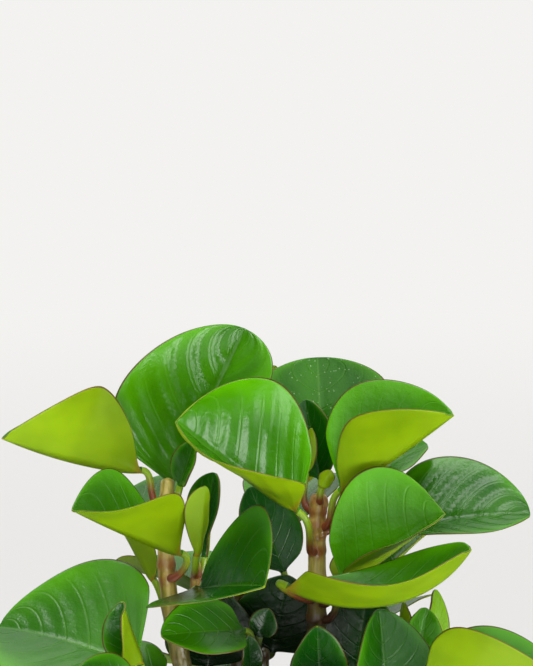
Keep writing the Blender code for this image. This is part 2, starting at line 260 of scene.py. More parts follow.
@dataclass(frozen=True)
class WaxyLeafFace:
    """Upper skin of a fleshy leaf under its wax: deep green, quilted, softly glossy.

    The wax coat gives broad pale highlights; the veins show as thin lighter lines.
    """

    deep: str = "#054700"
    bright: str = "#56a402"
    young: str = "#79a806"
    vein: str = "#7fb650"
    rim: str = "#55491f"
    dust: str = "#c9e2b8"
    veins: float = 6.0  # side veins in the length of the blade
    sweep: float = 0.42  # how far a vein runs towards the tip on its way to the margin
    cloud: float = 30.0  # width of a lighter or darker patch
    cloud_share: float = 0.25  # how much a patch shifts the green
    margin_share: float = 0.25  # how much the green brightens at the margin
    margin_edge: tuple = (0.55, 1.0)  # shares of the half blade at which that starts and is full
    vein_tint: float = 0.06
    midrib_tint: float = 0.14
    midrib_width: float = 0.035  # share of the half blade
    speck: float = 1.5  # distance between dust specks
    speck_size: float = 0.12  # radius of a speck, as a share of that distance
    crinkle: float = 5.0  # width of a fine wrinkle
    pore: float = 1.2  # width of a pore, coarser than it grows so that it shows
    depth: float = 0.6  # of the wrinkles
    wrinkle_share: float = 0.9
    pore_share: float = 0.14
    vein_share: float = -0.3  # below 0, as the veins are sunk
    strength: float = 0.8

    def make(self) -> bpy.types.Material:
        """Returns the material."""
        uniform = {"Roughness": 0.26, "IOR": 1.42, "Specular IOR Level": 0.36}
        uniform |= {"Coat Weight": 0.06, "Coat Roughness": 0.14}
        surface = Surface("waxy_leaf_face", uniform)
        maths = surface.maths
        across, along = blade_coordinates(surface)
        tone = surface.attribute("tone")
        split = add_node(surface.tree, "ShaderNodeSeparateColor", None, None, {0: tone.outputs["Color"]})
        # the tone's second channel is the leaf's painted light and shade
        age, shade, dust = split.outputs
        lines = vein_lines(maths, across, along, self.veins, self.sweep)
        shift = self.cloud_share
        patches = maths.run("MULTIPLY_ADD", surface.noise(self.cloud, 2.0), 2 * shift, -shift)
        margin = maths.run("MULTIPLY", maths.ramp(across, *self.margin_edge), self.margin_share)
        lit = maths.run("ADD", maths.run("ADD", shade, patches), margin)
        green = maths.mix(maths.ramp(lit, 0.0, 1.0), linear(self.deep), linear(self.bright))
        green = maths.mix(age, green, linear(self.young))
        green = maths.mix(maths.run("MULTIPLY", lines, self.vein_tint), green, linear(self.vein))
        midrib = maths.fall(across, 0.0, self.midrib_width)
        green = maths.mix(maths.run("MULTIPLY", midrib, self.midrib_tint), green, linear(self.vein))
        specks = speckles(surface, self.speck, self.speck_size)
        green = maths.mix(maths.run("MULTIPLY", specks, dust), green, linear(self.dust))
        rim = rim_share(surface, across, tone.outputs["Alpha"])
        green = maths.mix(rim, green, linear(self.rim))
        # the leaf face's colour gets painted shade low in the middle of the plant
        surface.feed("Base Color", InnerPaintedShade().over(surface, green))
        pores = maths.run("MULTIPLY", surface.noise(self.pore, 1.0), self.pore_share)
        wrinkles = surface.noise(self.crinkle, 3.0)
        wrinkles = maths.run("MULTIPLY_ADD", wrinkles, self.wrinkle_share, pores)
        skin_height = maths.run("MULTIPLY_ADD", lines, self.vein_share, wrinkles)
        surface.bump(skin_height, self.depth, self.strength)
        return surface.material


@dataclass(frozen=True)
class LeafUnderside:
    """Pale underside of a fleshy leaf: its lime is partly its own paler colour and partly painted light that
    comes through the blade.
    """

    # partly the underside's own colour, partly painted light that comes through the blade
    lime: str = "#7f9f02"
    shaded: str = "#6d8d02"
    rim: str = "#5f5226"
    blush: str = "#a8582a"
    blush_reach: float = 0.09  # share of the blade that the petiole's red creeps up
    blush_share: float = 0.5
    cloud: float = 22.0  # width of a patch
    cloud_edge: tuple = (0.3, 0.75)
    grain: float = 1.4  # width of a skin grain, coarser than it grows so that it shows
    depth: float = 0.1  # of the grain
    strength: float = 0.5

    def make(self) -> bpy.types.Material:
        """Returns the material."""
        uniform = {"Roughness": 0.46, "IOR": 1.4, "Specular IOR Level": 0.25}
        uniform |= {"Subsurface Weight": 0.12, "Subsurface Scale": 0.003}
        surface = Surface("leaf_underside", uniform)
        maths = surface.maths
        across, along = blade_coordinates(surface)
        patches = surface.noise(self.cloud, 2.0)
        patches = maths.ramp(patches, *self.cloud_edge)
        lime = maths.mix(patches, linear(self.lime), linear(self.shaded))
        blush = maths.fall(along, 0.0, self.blush_reach)
        lime = maths.mix(maths.run("MULTIPLY", blush, self.blush_share), lime, linear(self.blush))
        rim = rim_share(surface, across, surface.attribute("tone").outputs["Alpha"])
        lime = maths.mix(rim, lime, linear(self.rim))
        # the underside's colour gets painted shade low in the middle of the plant
        surface.feed("Base Color", InnerPaintedShade().over(surface, lime))
        surface.bump(surface.noise(self.grain, 1.0), self.depth, self.strength)
        return surface.material


@dataclass(frozen=True)
class PetioleSkin:
    """Smooth red-brown skin of a leaf stalk, turning green where the blade starts."""

    red: str = "#7d3a1c"
    green: str = "#86a814"
    green_edge: tuple = (0.45, 1.0)  # shares of the petiole at which it turns green
    mottle: float = 4.0  # width of a patch
    mottle_share: float = 0.35  # how far patches shift that
    grain: float = 1.5
    depth: float = 0.1  # of the grain
    strength: float = 0.4

    def make(self) -> bpy.types.Material:
        """Returns the material."""
        uniform = {"Roughness": 0.36, "Coat Weight": 0.2, "Coat Roughness": 0.2}
        uniform |= {"Subsurface Weight": 0.1, "Subsurface Scale": 0.002}
        surface = Surface("petiole_skin", uniform)
        maths = surface.maths
        _, along = blade_coordinates(surface)
        mottle = maths.run("MULTIPLY", surface.noise(self.mottle, 2.0), self.mottle_share)
        turn = maths.ramp(maths.run("ADD", along, mottle), *self.green_edge)
        skin_colour = maths.mix(turn, linear(self.red), linear(self.green))
        # the petiole's colour gets painted shade low in the middle of the plant
        surface.feed("Base Color", InnerPaintedShade().over(surface, skin_colour))
        surface.bump(surface.noise(self.grain, 1.0), self.depth, self.strength)
        return surface.material


@dataclass(frozen=True)
class StemSkin:
    """Fleshy stem skin: olive gold flesh with red-brown rings at the old leaf scars."""

    gold: str = "#c4b058"
    olive: str = "#7d7a1c"
    scar: str = "#86401c"
    scar_share: float = 0.9
    scar_edge: tuple = (0.95, 1.75)  # sums of blush and mottle at which red starts and is full
    streak: float = 2.2  # width of a streak
    streak_edge: tuple = (0.35, 0.7)
    stretch: tuple = (1, 1, 0.12)  # streaks run up the stem
    mottle: float = 6.0  # width of a patch
    grain: float = 0.9
    depth: float = 0.25  # of streaks and grain
    strength: float = 0.6

    def make(self) -> bpy.types.Material:
        """Returns the material."""
        uniform = {"Roughness": 0.33, "Coat Weight": 0.25, "Coat Roughness": 0.18}
        uniform |= {"Subsurface Weight": 0.1, "Subsurface Scale": 0.003}
        surface = Surface("stem_skin", uniform)
        maths = surface.maths
        streaks = surface.noise(self.streak, 3.0, self.stretch)
        olive = maths.ramp(streaks, *self.streak_edge)
        flesh = maths.mix(olive, linear(self.gold), linear(self.olive))
        ring = surface.attribute("ring").outputs["Fac"]
        blush = maths.run("ADD", ring, surface.noise(self.mottle, 2.0))
        blush = maths.ramp(blush, *self.scar_edge)
        red = maths.run("MULTIPLY", blush, self.scar_share)
        flesh = maths.mix(red, flesh, linear(self.scar))
        # the stem's colour gets painted shade low in the middle of the plant
        surface.feed("Base Color", InnerPaintedShade().over(surface, flesh))
        height = maths.run("ADD", streaks, surface.noise(self.grain, 1.0))
        surface.bump(height, self.depth, self.strength)
        return surface.material


@dataclass(frozen=True)
class PottingMix:
    """Damp peat and bark: near black brown crumbs with no gloss."""

    dark: str = "#1d130c"
    light: str = "#4a3424"
    crumb: float = 3.5  # width of a crumb
    crumb_edge: tuple = (0.35, 0.7)
    grit: float = 1.5  # width of a grain of grit
    depth: float = 0.6  # of the grit
    strength: float = 0.9

    def make(self) -> bpy.types.Material:
        """Returns the material."""
        surface = Surface("potting_mix", {"Roughness": 0.95, "Specular IOR Level": 0.2})
        maths = surface.maths
        crumbs = maths.ramp(surface.noise(self.crumb, 4.0), *self.crumb_edge)
        surface.feed("Base Color", maths.mix(crumbs, linear(self.dark), linear(self.light)))
        surface.bump(surface.noise(self.grit, 3.0), self.depth, self.strength)
        return surface.material


@dataclass(frozen=True)
class Perlite:
    """Expanded volcanic glass: white, dull, pitted grains."""

    white: str = "#e3e0d6"
    pit: float = 0.6  # width of a pit
    depth: float = 0.2  # of a pit
    strength: float = 0.8

    def make(self) -> bpy.types.Material:
        """Returns the material."""
        surface = Surface("perlite", {"Roughness": 0.9, "Base Color": linear(self.white)})
        surface.bump(surface.noise(self.pit, 2.0), self.depth, self.strength)
        return surface.material


@dataclass(frozen=True)
class BisqueCeramic:
    """Matte glazed stoneware: warm white with faint iron specks and throwing lines."""

    glaze: str = "#cfcabf"
    warm: str = "#c0b8a8"
    speck: str = "#7d6b56"
    speck_share: float = 0.7  # how strongly the iron shows
    speck_spacing: float = 3.4
    speck_size: float = 0.13  # radius of a speck, as a share of the spacing
    cloud: float = 30.0  # width of a warmer patch
    cloud_edge: tuple = (0.3, 0.75)
    ring: float = 4.5  # height of a throwing line
    ring_stretch: tuple = (0.05, 0.05, 1.0)  # throwing lines run round the pot
    grain: float = 0.8
    grain_share: float = 0.25
    depth: float = 0.3  # of lines and grain
    strength: float = 0.5

    def make(self) -> bpy.types.Material:
        """Returns the material."""
        surface = Surface("matte_stoneware_glaze", {"Roughness": 0.52, "IOR": 1.5})
        maths = surface.maths
        clouds = maths.ramp(surface.noise(self.cloud, 3.0), *self.cloud_edge)
        glaze = maths.mix(clouds, linear(self.glaze), linear(self.warm))
        specks = speckles(surface, self.speck_spacing, self.speck_size)
        iron = maths.run("MULTIPLY", specks, self.speck_share)
        surface.feed("Base Color", maths.mix(iron, glaze, linear(self.speck)))
        rings = surface.noise(self.ring, 1.0, self.ring_stretch)
        grain = maths.run("MULTIPLY", surface.noise(self.grain, 1.0), self.grain_share)
        surface.bump(maths.run("ADD", rings, grain), self.depth, self.strength)
        return surface.material


def blade_coordinates(surface: Surface) -> tuple[bpy.types.NodeSocket, bpy.types.NodeSocket]:
    """Reads a leaf's own map.

    Args:
        surface: The material being written.

    Returns:
        The distance from the midrib, 0 to 1 at the margin, and the share of the length.
    """
    uv = add_node(surface.tree, "ShaderNodeUVMap", {"uv_map": "blade"}).outputs[0]
    split = add_node(surface.tree, "ShaderNodeSeparateXYZ", None, None, {0: uv})
    centred = surface.maths.run("MULTIPLY_ADD", split.outputs[0], 2.0, -1.0)
    return surface.maths.run("ABSOLUTE", centred), split.outputs[1]


@dataclass(frozen=True)
class InnerPaintedShade:
    """Painted shade low in the middle of the plant, where leaves and stems get little light."""

    # colour of the painted shade
    shade_colour: str = "#030803"
    share: float = 0.9
    reach: tuple = (28.0, 64.0)  # distances from the pot's axis at which it starts and ends to fade
    height: tuple = (155.0, 202.0)  # heights at which it starts and ends to fade

    def over(self, surface: Surface, colour: bpy.types.NodeSocket) -> bpy.types.NodeSocket:
        """Paints shade over a colour by its place in the plant.

        Args:
            surface: The material being written.
            colour: Its colour in full light.

        Returns:
            The darkened colour.
        """
        tree, maths = surface.tree, surface.maths
        flat = {"operation": "MULTIPLY"}
        on_floor = add_node(tree, "ShaderNodeVectorMath", flat, {1: (1.0, 1.0, 0.0)}, {0: surface.place})
        reach = maths.length(on_floor.outputs[0])
        height = add_node(tree, "ShaderNodeSeparateXYZ", None, None, {0: surface.place}).outputs["Z"]
        near = maths.fall(reach, *(edge * MM for edge in self.reach))
        low = maths.fall(height, *(edge * MM for edge in self.height))
        # how much painted shade this place gets
        share = maths.run("MULTIPLY", maths.run("MULTIPLY", near, low), self.share)
        return maths.mix(share, colour, linear(self.shade_colour))


def rim_share(
    surface: Surface, across: bpy.types.NodeSocket, width: bpy.types.NodeSocket
) -> bpy.types.NodeSocket:
    """Marks the thin rim along a leaf's margin.

    Args:
        surface: The material being written.
        across: Distance from the midrib, 0 to 1.
        width: The rim's width as a share of the half blade's.

    Returns:
        1 in the rim, 0 on the rest of the blade.
    """
    maths = surface.maths
    steps = maths.run("DIVIDE", maths.run("SUBTRACT", 1.0, across), width)
    return maths.fall(steps, *RIM_EDGE)


def vein_lines(
    maths: Maths,
    across: bpy.types.NodeSocket,
    along: bpy.types.NodeSocket,
    veins: float,
    sweep: float,
) -> bpy.types.NodeSocket:
    """Draws side veins that leave the midrib and sweep towards the tip.

    Args:
        maths: Writer of the material's formulas.
        across: Distance from the midrib, 0 to 1.
        along: Share of the blade's length.
        veins: How many veins fit in the length of the blade.
        sweep: How far a vein runs forwards on its way to the margin.

    Returns:
        1 on a vein's middle, falling to 0 beside it and near the margin.
    """
    bent = maths.run("MULTIPLY", maths.run("POWER", across, VEIN_CURVE), sweep)
    phase = maths.run("MULTIPLY", maths.run("SUBTRACT", along, bent), veins)
    off = maths.run("ABSOLUTE", maths.run("SUBTRACT", maths.run("FRACT", phase), 0.5))
    return maths.run("MULTIPLY", maths.ramp(off, *VEIN_EDGE), maths.fall(across, *VEIN_FADE))


def speckles(surface: Surface, spacing: float, size: float) -> bpy.types.NodeSocket:
    """Scatters round specks.

    Args:
        surface: The material being written.
        spacing: Mean distance between specks, in mm.
        size: Radius of a speck, as a share of the spacing.

    Returns:
        1 inside a speck, 0 outside.
    """
    values = {"Scale": 1 / (spacing * MM)}
    cells = add_node(surface.tree, "ShaderNodeTexVoronoi", None, values, {"Vector": surface.place})
    near = surface.maths.fall(cells.outputs["Distance"], size, size * 2.0)
    picks = surface.maths.ramp(surface.noise(spacing * 3, 1.0), *SPECK_PICK)
    return surface.maths.run("MULTIPLY", near, picks)


# ---------------------------------------------------------------- plant tables


class Age(Enum):
    """How grown a leaf is, as the share of young lime green in its upper face."""

    GROWN = 0.0
    YOUNG = 0.8


@dataclass(frozen=True)
class Look:
    """What sets one leaf's surface apart.

    Attributes:
        relief: Height of the quilting, in mm.
        light: Painted light and shade, as the share of the brighter green, 0 to 1: low for leaves that sit
            in shade.
        dust: Share of pale specks, 0 to 1.
        age: How grown the leaf is.
        wave: Height of the slow waves along the margins, in mm.
    """

    relief: float = 0.35
    light: float = 0.35
    dust: float = 0.0
    age: Age = Age.GROWN
    wave: float = 0.6


@dataclass(frozen=True)
class StemRoute:
    """A stem: its centre line from the soil up, and its radius at the soil and at the top."""

    name: str
    points: tuple
    radius: tuple


@dataclass(frozen=True)
class LeafRow:
    """Where one leaf grows and how it is shaped.

    Attributes:
        name: The leaf's node.
        stem: The stem that carries it.
        node: Height at which the petiole leaves the stem.
        base: Start of the blade.
        tip: Tip of the blade.
        facing: Where the top face looks at the midrib.
        left: Width and fold of the left half, seen from the base with the top face up.
        right: Width and fold of the right half.
        cup: Extra curl across each half, in degrees.
        bow: Bend along the midrib, in degrees.
        widest: Share of the length at which the left and the right half are widest.
        point: Below 1 makes the outline fuller, above 1 more pointed.
        flare: How much flatter the folds are at the tip.
    """

    name: str
    stem: str
    node: float
    base: tuple
    tip: tuple
    facing: tuple
    left: tuple
    right: tuple
    cup: float
    bow: float
    widest: tuple = (0.45, 0.45)
    point: float = 0.57
    flare: float = 0.45


STEMS = (
    StemRoute(
        "stem_left",
        ((-30, -4, 97), (-36, -6, 130), (-43, -8, 165), (-46, -6, 200), (-45, 2, 228)),
        (5.0, 3.2),
    ),
    StemRoute("stem_left_side", ((-38.4, -13, 166), (-33, -17, 178), (-31, -20, 195)), (2.6, 1.8)),
    StemRoute(
        "stem_right",
        ((20, -2, 97), (22, -4, 130), (23, -5, 170), (23, -5, 205), (24, -2, 222)),
        (5.2, 3.6),
    ),
    StemRoute("stem_centre", ((-4, -16, 97), (-3, -20, 125), (-1, -24, 156)), (3.2, 2.4)),
    StemRoute("stem_front_left", ((-32, -18, 97), (-40, -28, 120), (-44, -40, 146)), (3.4, 2.4)),
    StemRoute("stem_front_right", ((34, -20, 97), (46, -22, 118), (56, -18, 138)), (3.6, 2.6)),
    StemRoute("stem_back", ((-12, 26, 97), (-13, 32, 140), (-10, 37, 180), (-2, 38, 218)), (4.6, 3.2)),
    StemRoute("stem_back_right", ((24, 24, 97), (34, 32, 125), (42, 38, 152)), (3.6, 2.6)),
)

LEAVES = (
    LeafRow(
        "leaf_left_outer", "stem_left", 216, (-57, 0, 232), (-117, -21, 251), (0.2, -0.15, 1.0),
        (38, 85), (22, 82), 5, -20, (0.5, 0.48), 0.7,
    ),
    LeafRow(
        "leaf_left_tall", "stem_left", 210, (-44, 10, 223), (-10, 22, 294), (0.2, -0.8, 0.5),
        (44, 22), (30, 52), 5, 10, (0.38, 0.74),
    ),
    LeafRow(
        "leaf_left_cupped", "stem_left", 184, (-38, -22, 199), (-84, -44, 224), (0.0, -0.4, 1.0),
        (34, 80), (28, 45), 5, -8, (0.5, 0.7), 0.75, 0.75,
    ),
    LeafRow(
        "leaf_top_front", "stem_right", 196, (14, -22, 218), (-39, -40, 262), (0.54, -0.82, 0.18),
        (32, 70), (43, 6), 42, -30, (0.4, 0.58), 0.36, 0.68,
    ),
    LeafRow(
        "leaf_top_back", "stem_right", 207, (26, 22, 230), (24, 38, 278), (0.0, -0.9, 0.4),
        (32, 15), (34, 15), 10, 10, (0.6, 0.6),
    ),
    LeafRow(
        "leaf_top_dark", "stem_right", 217, (25, 9, 226), (18, 14, 262), (-0.2, -0.9, 0.3),
        (14, 20), (14, 30), 10, 5,
    ),
    LeafRow(
        "leaf_top_sliver", "stem_right", 214, (18, 4, 230), (20.5, 1, 251), (0.5, 0.8, 0.2),
        (4, 20), (4, 20), 10, 0,
    ),
    LeafRow(
        "leaf_top_bud", "stem_right", 218, (25, -8, 226), (29, -10, 234), (0.3, 0.8, 0.4),
        (4, 30), (4, 30), 10, 0,
    ),
    LeafRow(
        "leaf_top_right", "stem_right", 207, (33, -12, 225), (81, -36, 264), (-0.25, -0.3, 0.9),
        (37, 55), (32, 72), 5, -5, (0.45, 0.6),
    ),
    LeafRow(
        "leaf_right_shaded", "stem_right", 204, (42, 10, 222), (75, 24, 239), (0.0, -0.5, 0.9),
        (20, 20), (12, 20), 10, 10,
    ),
    LeafRow(
        "leaf_right_outer", "stem_right", 180, (56, 5, 202), (119, -10, 214), (-0.5, -0.45, 0.8),
        (35, 12), (27, 30), 5, 15, (0.4, 0.5),
    ),
    LeafRow(
        "leaf_right_round", "stem_right", 172, (34, -22, 184), (78, -34, 220), (-0.4, -0.85, 0.3),
        (37, 22), (17, 88), 5, -10, (0.64, 0.54), 0.3,
    ),
    LeafRow(
        "leaf_right_boat", "stem_right", 174, (9, -33, 187), (86, -66, 212), (-0.3, -0.1, 0.93),
        (21, 42), (33, 44), 5, -84, (0.62, 0.3), 0.48, 0.6,
    ),
    LeafRow(
        "leaf_right_young", "stem_right", 164, (33, -13, 184), (36, -16, 199), (-0.3, 0.8, 0.4),
        (6, 20), (6, 20), 10, 0,
    ),
    LeafRow(
        "leaf_left_behind", "stem_left", 160, (-52, 8, 178), (-67, 20, 199), (0.2, 0.6, 0.7),
        (14, 10), (14, 10), 10, 0,
    ),
    LeafRow(
        "leaf_lower_left", "stem_front_left", 124, (-57, -43, 154), (-121, -16, 163), (0.1, -0.45, 0.9),
        (36, 5), (42, 28), 5, 20, (0.45, 0.36),
    ),
    LeafRow(
        "leaf_left_young", "stem_left_side", 189, (-31, -30, 200), (-27, -33, 232), (-0.3, 0.8, 0.4),
        (6, 30), (8, 10), 10, 0, (0.5, 0.65),
    ),
    LeafRow(
        "leaf_left_slim", "stem_left_side", 186, (-28, -14, 195), (-24, -5, 232), (-0.5, -0.6, 0.3),
        (12, 10), (13, 30), 10, 0, (0.65, 0.7),
    ),
    LeafRow(
        "leaf_left_small", "stem_left", 216, (-39, -4, 226), (-32, -12, 248), (-0.4, -0.7, 0.3),
        (8, 20), (9, 30), 10, 0,
    ),
    LeafRow(
        "leaf_centre_open", "stem_left_side", 178, (-31, -27, 184), (-1, -66, 196), (0.15, -0.45, 0.85),
        (36, 60), (38, 6), 5, 5, (0.7, 0.4),
    ),
    LeafRow(
        "leaf_centre_back", "stem_back", 165, (8, 16, 180), (-8, 26, 218), (0.3, -0.8, 0.5),
        (16, 15), (16, 15), 10, 5,
    ),
    LeafRow(
        "leaf_inner_centre", "stem_back", 136, (3, 21, 140), (10, 10, 180), (0.0, -0.9, 0.3),
        (24, 12), (22, 12), 10, 8,
    ),
    LeafRow(
        "leaf_inner_left", "stem_back", 126, (-28, 16, 134), (-26, 8, 176), (0.1, -0.9, 0.3),
        (22, 12), (22, 12), 10, 8,
    ),
    LeafRow(
        "leaf_inner_right", "stem_back_right", 124, (42, 20, 130), (47, 12, 172), (-0.1, -0.9, 0.3),
        (20, 12), (20, 12), 10, 8,
    ),
    LeafRow(
        "leaf_centre_low", "stem_centre", 146, (-10, -34, 167), (-45, -58, 172), (0.0, -0.6, 0.8),
        (17, 8), (16, 20), 10, 10,
    ),
    LeafRow(
        "leaf_centre_small", "stem_centre", 152, (-3, -29, 163), (1, -31, 176), (0.0, -0.8, 0.5),
        (7, 10), (7, 10), 10, 5,
    ),
    LeafRow(
        "leaf_centre_upright", "stem_centre", 138, (-7, -32, 146), (-8, -38, 166), (0.3, -0.8, 0.5),
        (6, 20), (6, 20), 10, 5,
    ),
    LeafRow(
        "leaf_centre_deep", "stem_right", 126, (24, -26, 135), (22, -44, 172), (0.0, -0.8, 0.5),
        (14, 15), (14, 15), 10, 5,
    ),
    LeafRow(
        "leaf_right_pointed", "stem_front_right", 120, (54, -30, 128), (50, -28, 175), (0.3, -0.8, 0.4),
        (26, 30), (26, 30), 10, 5, (0.3, 0.3),
    ),
    LeafRow(
        "leaf_right_upright", "stem_front_right", 122, (66, -12, 138), (73, -2, 168), (0.3, -0.8, 0.4),
        (12, 30), (12, 30), 10, 5,
    ),
    LeafRow(
        "leaf_right_thin", "stem_front_right", 134, (76, 4, 140), (79, 14, 172), (0.6, -0.6, 0.4),
        (8, 20), (8, 20), 10, 5,
    ),
    LeafRow(
        "leaf_right_pale", "stem_back_right", 140, (60, 22, 138), (65, 20, 164), (0.9, 0.3, 0.3),
        (8, 20), (8, 20), 10, 5,
    ),
    LeafRow(
        "leaf_lower_right", "stem_front_right", 112, (67, -46, 142), (128, -64, 152), (-0.1, -0.2, 1.0),
        (29, 58), (37, 76), 5, -10,
    ),
    LeafRow(
        "leaf_front_young", "stem_front_left", 142, (-54, -60, 160), (-61, -68, 190), (-0.35, -0.85, 0.3),
        (13, 25), (11, 90), 10, 0,
    ),
    LeafRow(
        "leaf_front_cup", "stem_front_left", 132, (-58, -70, 146), (-77, -91, 168), (0.2, -0.6, 0.8),
        (17, 60), (15, 30), 10, 0,
    ),
    LeafRow(
        "leaf_back_tall", "stem_back", 208, (-2, 46, 226), (4, 58, 271), (-0.3, 0.6, 0.7),
        (17, 25), (19, 25), 5, 10,
    ),
    LeafRow(
        "leaf_back_left", "stem_left", 190, (-50, 16, 204), (-74, 56, 206), (-0.2, 0.2, 1.0),
        (26, 30), (26, 30), 5, 10,
    ),
    LeafRow(
        "leaf_back_right_top", "stem_back", 204, (18, 48, 216), (66, 72, 250), (0.2, 0.3, 0.9),
        (32, 30), (32, 30), 5, 10,
    ),
    LeafRow(
        "leaf_back_right", "stem_back_right", 144, (52, 46, 166), (86, 70, 190), (0.1, 0.2, 1.0),
        (26, 25), (26, 25), 5, 15,
    ),
    LeafRow(
        "leaf_back_centre", "stem_back", 182, (9, 52, 190), (20, 104, 204), (0.0, 0.2, 1.0),
        (28, 25), (28, 25), 5, 20,
    ),
    LeafRow(
        "leaf_back_low_left", "stem_back", 150, (-24, 38, 160), (-72, 66, 168), (0.0, 0.2, 1.0),
        (34, 20), (34, 20), 5, 20,
    ),
    LeafRow(
        "leaf_back_low_right", "stem_back_right", 134, (44, 52, 140), (74, 94, 144), (0.1, 0.2, 1.0),
        (30, 20), (30, 20), 5, 25,
    ),
    LeafRow(
        "leaf_back_low_centre", "stem_back", 134, (4, 42, 142), (-6, 102, 140), (0.0, 0.3, 1.0),
        (34, 20), (34, 20), 5, 25,
    ),
    LeafRow(
        "leaf_skirt_left", "stem_left", 118, (-50, 6, 124), (-106, 34, 122), (-0.1, 0.0, 1.0),
        (32, 15), (32, 15), 5, 25,
    ),
    LeafRow(
        "leaf_skirt_front_left", "stem_front_left", 112, (-52, -34, 120), (-90, -74, 112), (-0.1, -0.2, 1.0),
        (30, 15), (30, 15), 5, 25,
    ),
    LeafRow(
        "leaf_skirt_front", "stem_centre", 114, (-6, -34, 120), (-16, -90, 112), (0.0, -0.3, 1.0),
        (30, 15), (30, 15), 5, 25,
    ),
    LeafRow(
        "leaf_skirt_front_right", "stem_front_right", 106, (38, -42, 114), (60, -90, 110), (0.1, -0.3, 1.0),
        (30, 15), (28, 15), 5, 25,
    ),
    LeafRow(
        "leaf_skirt_right", "stem_right", 108, (46, 8, 112), (104, 20, 108), (0.1, 0.0, 1.0),
        (28, 15), (28, 15), 5, 25,
    ),
    LeafRow(
        "leaf_skirt_back_left", "stem_back", 116, (-20, 38, 122), (-62, 82, 114), (0.0, 0.2, 1.0),
        (30, 15), (30, 15), 5, 25,
    ),
)

# Each leaf's light is painted light and shade: low for leaves deep in the plant's shade.
LOOKS = {
    "leaf_left_outer": Look(relief=0.25, light=0.25),
    "leaf_left_tall": Look(relief=1.9, light=0.5),
    "leaf_left_cupped": Look(relief=0.3, light=0.4),
    "leaf_top_front": Look(relief=1.2, light=0.5),
    "leaf_top_back": Look(relief=0.15, light=0.3, dust=0.5),
    "leaf_right_outer": Look(relief=1.6, light=0.25),
    "leaf_right_round": Look(relief=0.45, light=0.58),
    "leaf_right_boat": Look(relief=0.25, light=0.35),
    "leaf_lower_left": Look(relief=0.6, light=0.38),
    "leaf_centre_open": Look(relief=0.3, light=0.1),
    "leaf_left_young": Look(relief=0.2, light=0.3),
    "leaf_left_slim": Look(relief=0.2, light=0.05),
    "leaf_left_small": Look(relief=0.2, light=0.25),
    "leaf_front_young": Look(relief=0.2, light=0.2),
    "leaf_front_cup": Look(relief=0.2, light=0.2),
    "leaf_right_young": Look(relief=0.1, age=Age.YOUNG),
    "leaf_top_sliver": Look(relief=0.1, age=Age.YOUNG),
    "leaf_top_bud": Look(relief=0.1, age=Age.YOUNG),
    "leaf_right_thin": Look(relief=0.1, age=Age.YOUNG),
    "leaf_right_pale": Look(relief=0.1, age=Age.YOUNG),
    "leaf_top_dark": Look(relief=0.2, light=0.05),
    "leaf_top_right": Look(relief=0.5, light=0.58),
    "leaf_centre_low": Look(relief=0.25, light=0.3),
    "leaf_centre_deep": Look(relief=0.2, light=0.0),
    "leaf_centre_back": Look(relief=0.2, light=0.0),
    "leaf_centre_small": Look(relief=0.2, light=0.1),
    "leaf_centre_upright": Look(relief=0.2, light=0.1),
    "leaf_right_pointed": Look(relief=0.2, light=0.2),
    "leaf_right_upright": Look(relief=0.2, light=0.4),
    "leaf_inner_left": Look(relief=0.2, light=0.0),
    "leaf_inner_centre": Look(relief=0.2, light=0.0),
    "leaf_inner_right": Look(relief=0.2, light=0.0),
}


# ---------------------------------------------------------------- pieces


def mesh_object(name: str, mesh: bpy.types.Mesh) -> bpy.types.Object:
    """Returns a new object that shows a mesh, linked to the scene at the origin."""
    made = bpy.data.objects.new(name, mesh)
    bpy.context.scene.collection.objects.link(made)
    return made


def skin(
    name: str, rings: np.ndarray, materials: list[bpy.types.Material], close: bool = True
) -> bpy.types.Object:
    """Makes a skin over rings of points.

    Args:
        name: The object's name.
        rings: Points as rings x count x 3, in metres.
        materials: The object's material slots.
        close: Whether the first and the last ring get a face.

    Returns:
        The object, smooth shaded, with its faces pointing out.
    """
    rows, count = rings.shape[:2]
    index = np.arange(rows * count).reshape(rows, count)
    following = np.roll(index, -1, axis=1)
    quads = np.stack((index[:-1], following[:-1], following[1:], index[1:]), axis=-1).reshape(-1, 4)
    faces = quads.tolist()
    if close:
        faces += [index[0][::-1].tolist(), index[-1].tolist()]
    mesh = bpy.data.meshes.new(name)
    mesh.from_pydata(rings.reshape(-1, 3).tolist(), [], faces)
    face_out(mesh)
    mesh.shade_smooth()
    for material in materials:
        mesh.materials.append(material)
    return mesh_object(name, mesh)


def face_out(mesh: bpy.types.Mesh) -> None:
    """Turns every face of a closed mesh outwards."""
    work = bmesh.new()
    work.from_mesh(mesh)
    bmesh.ops.recalc_face_normals(work, faces=work.faces)
    work.to_mesh(mesh)
    work.free()


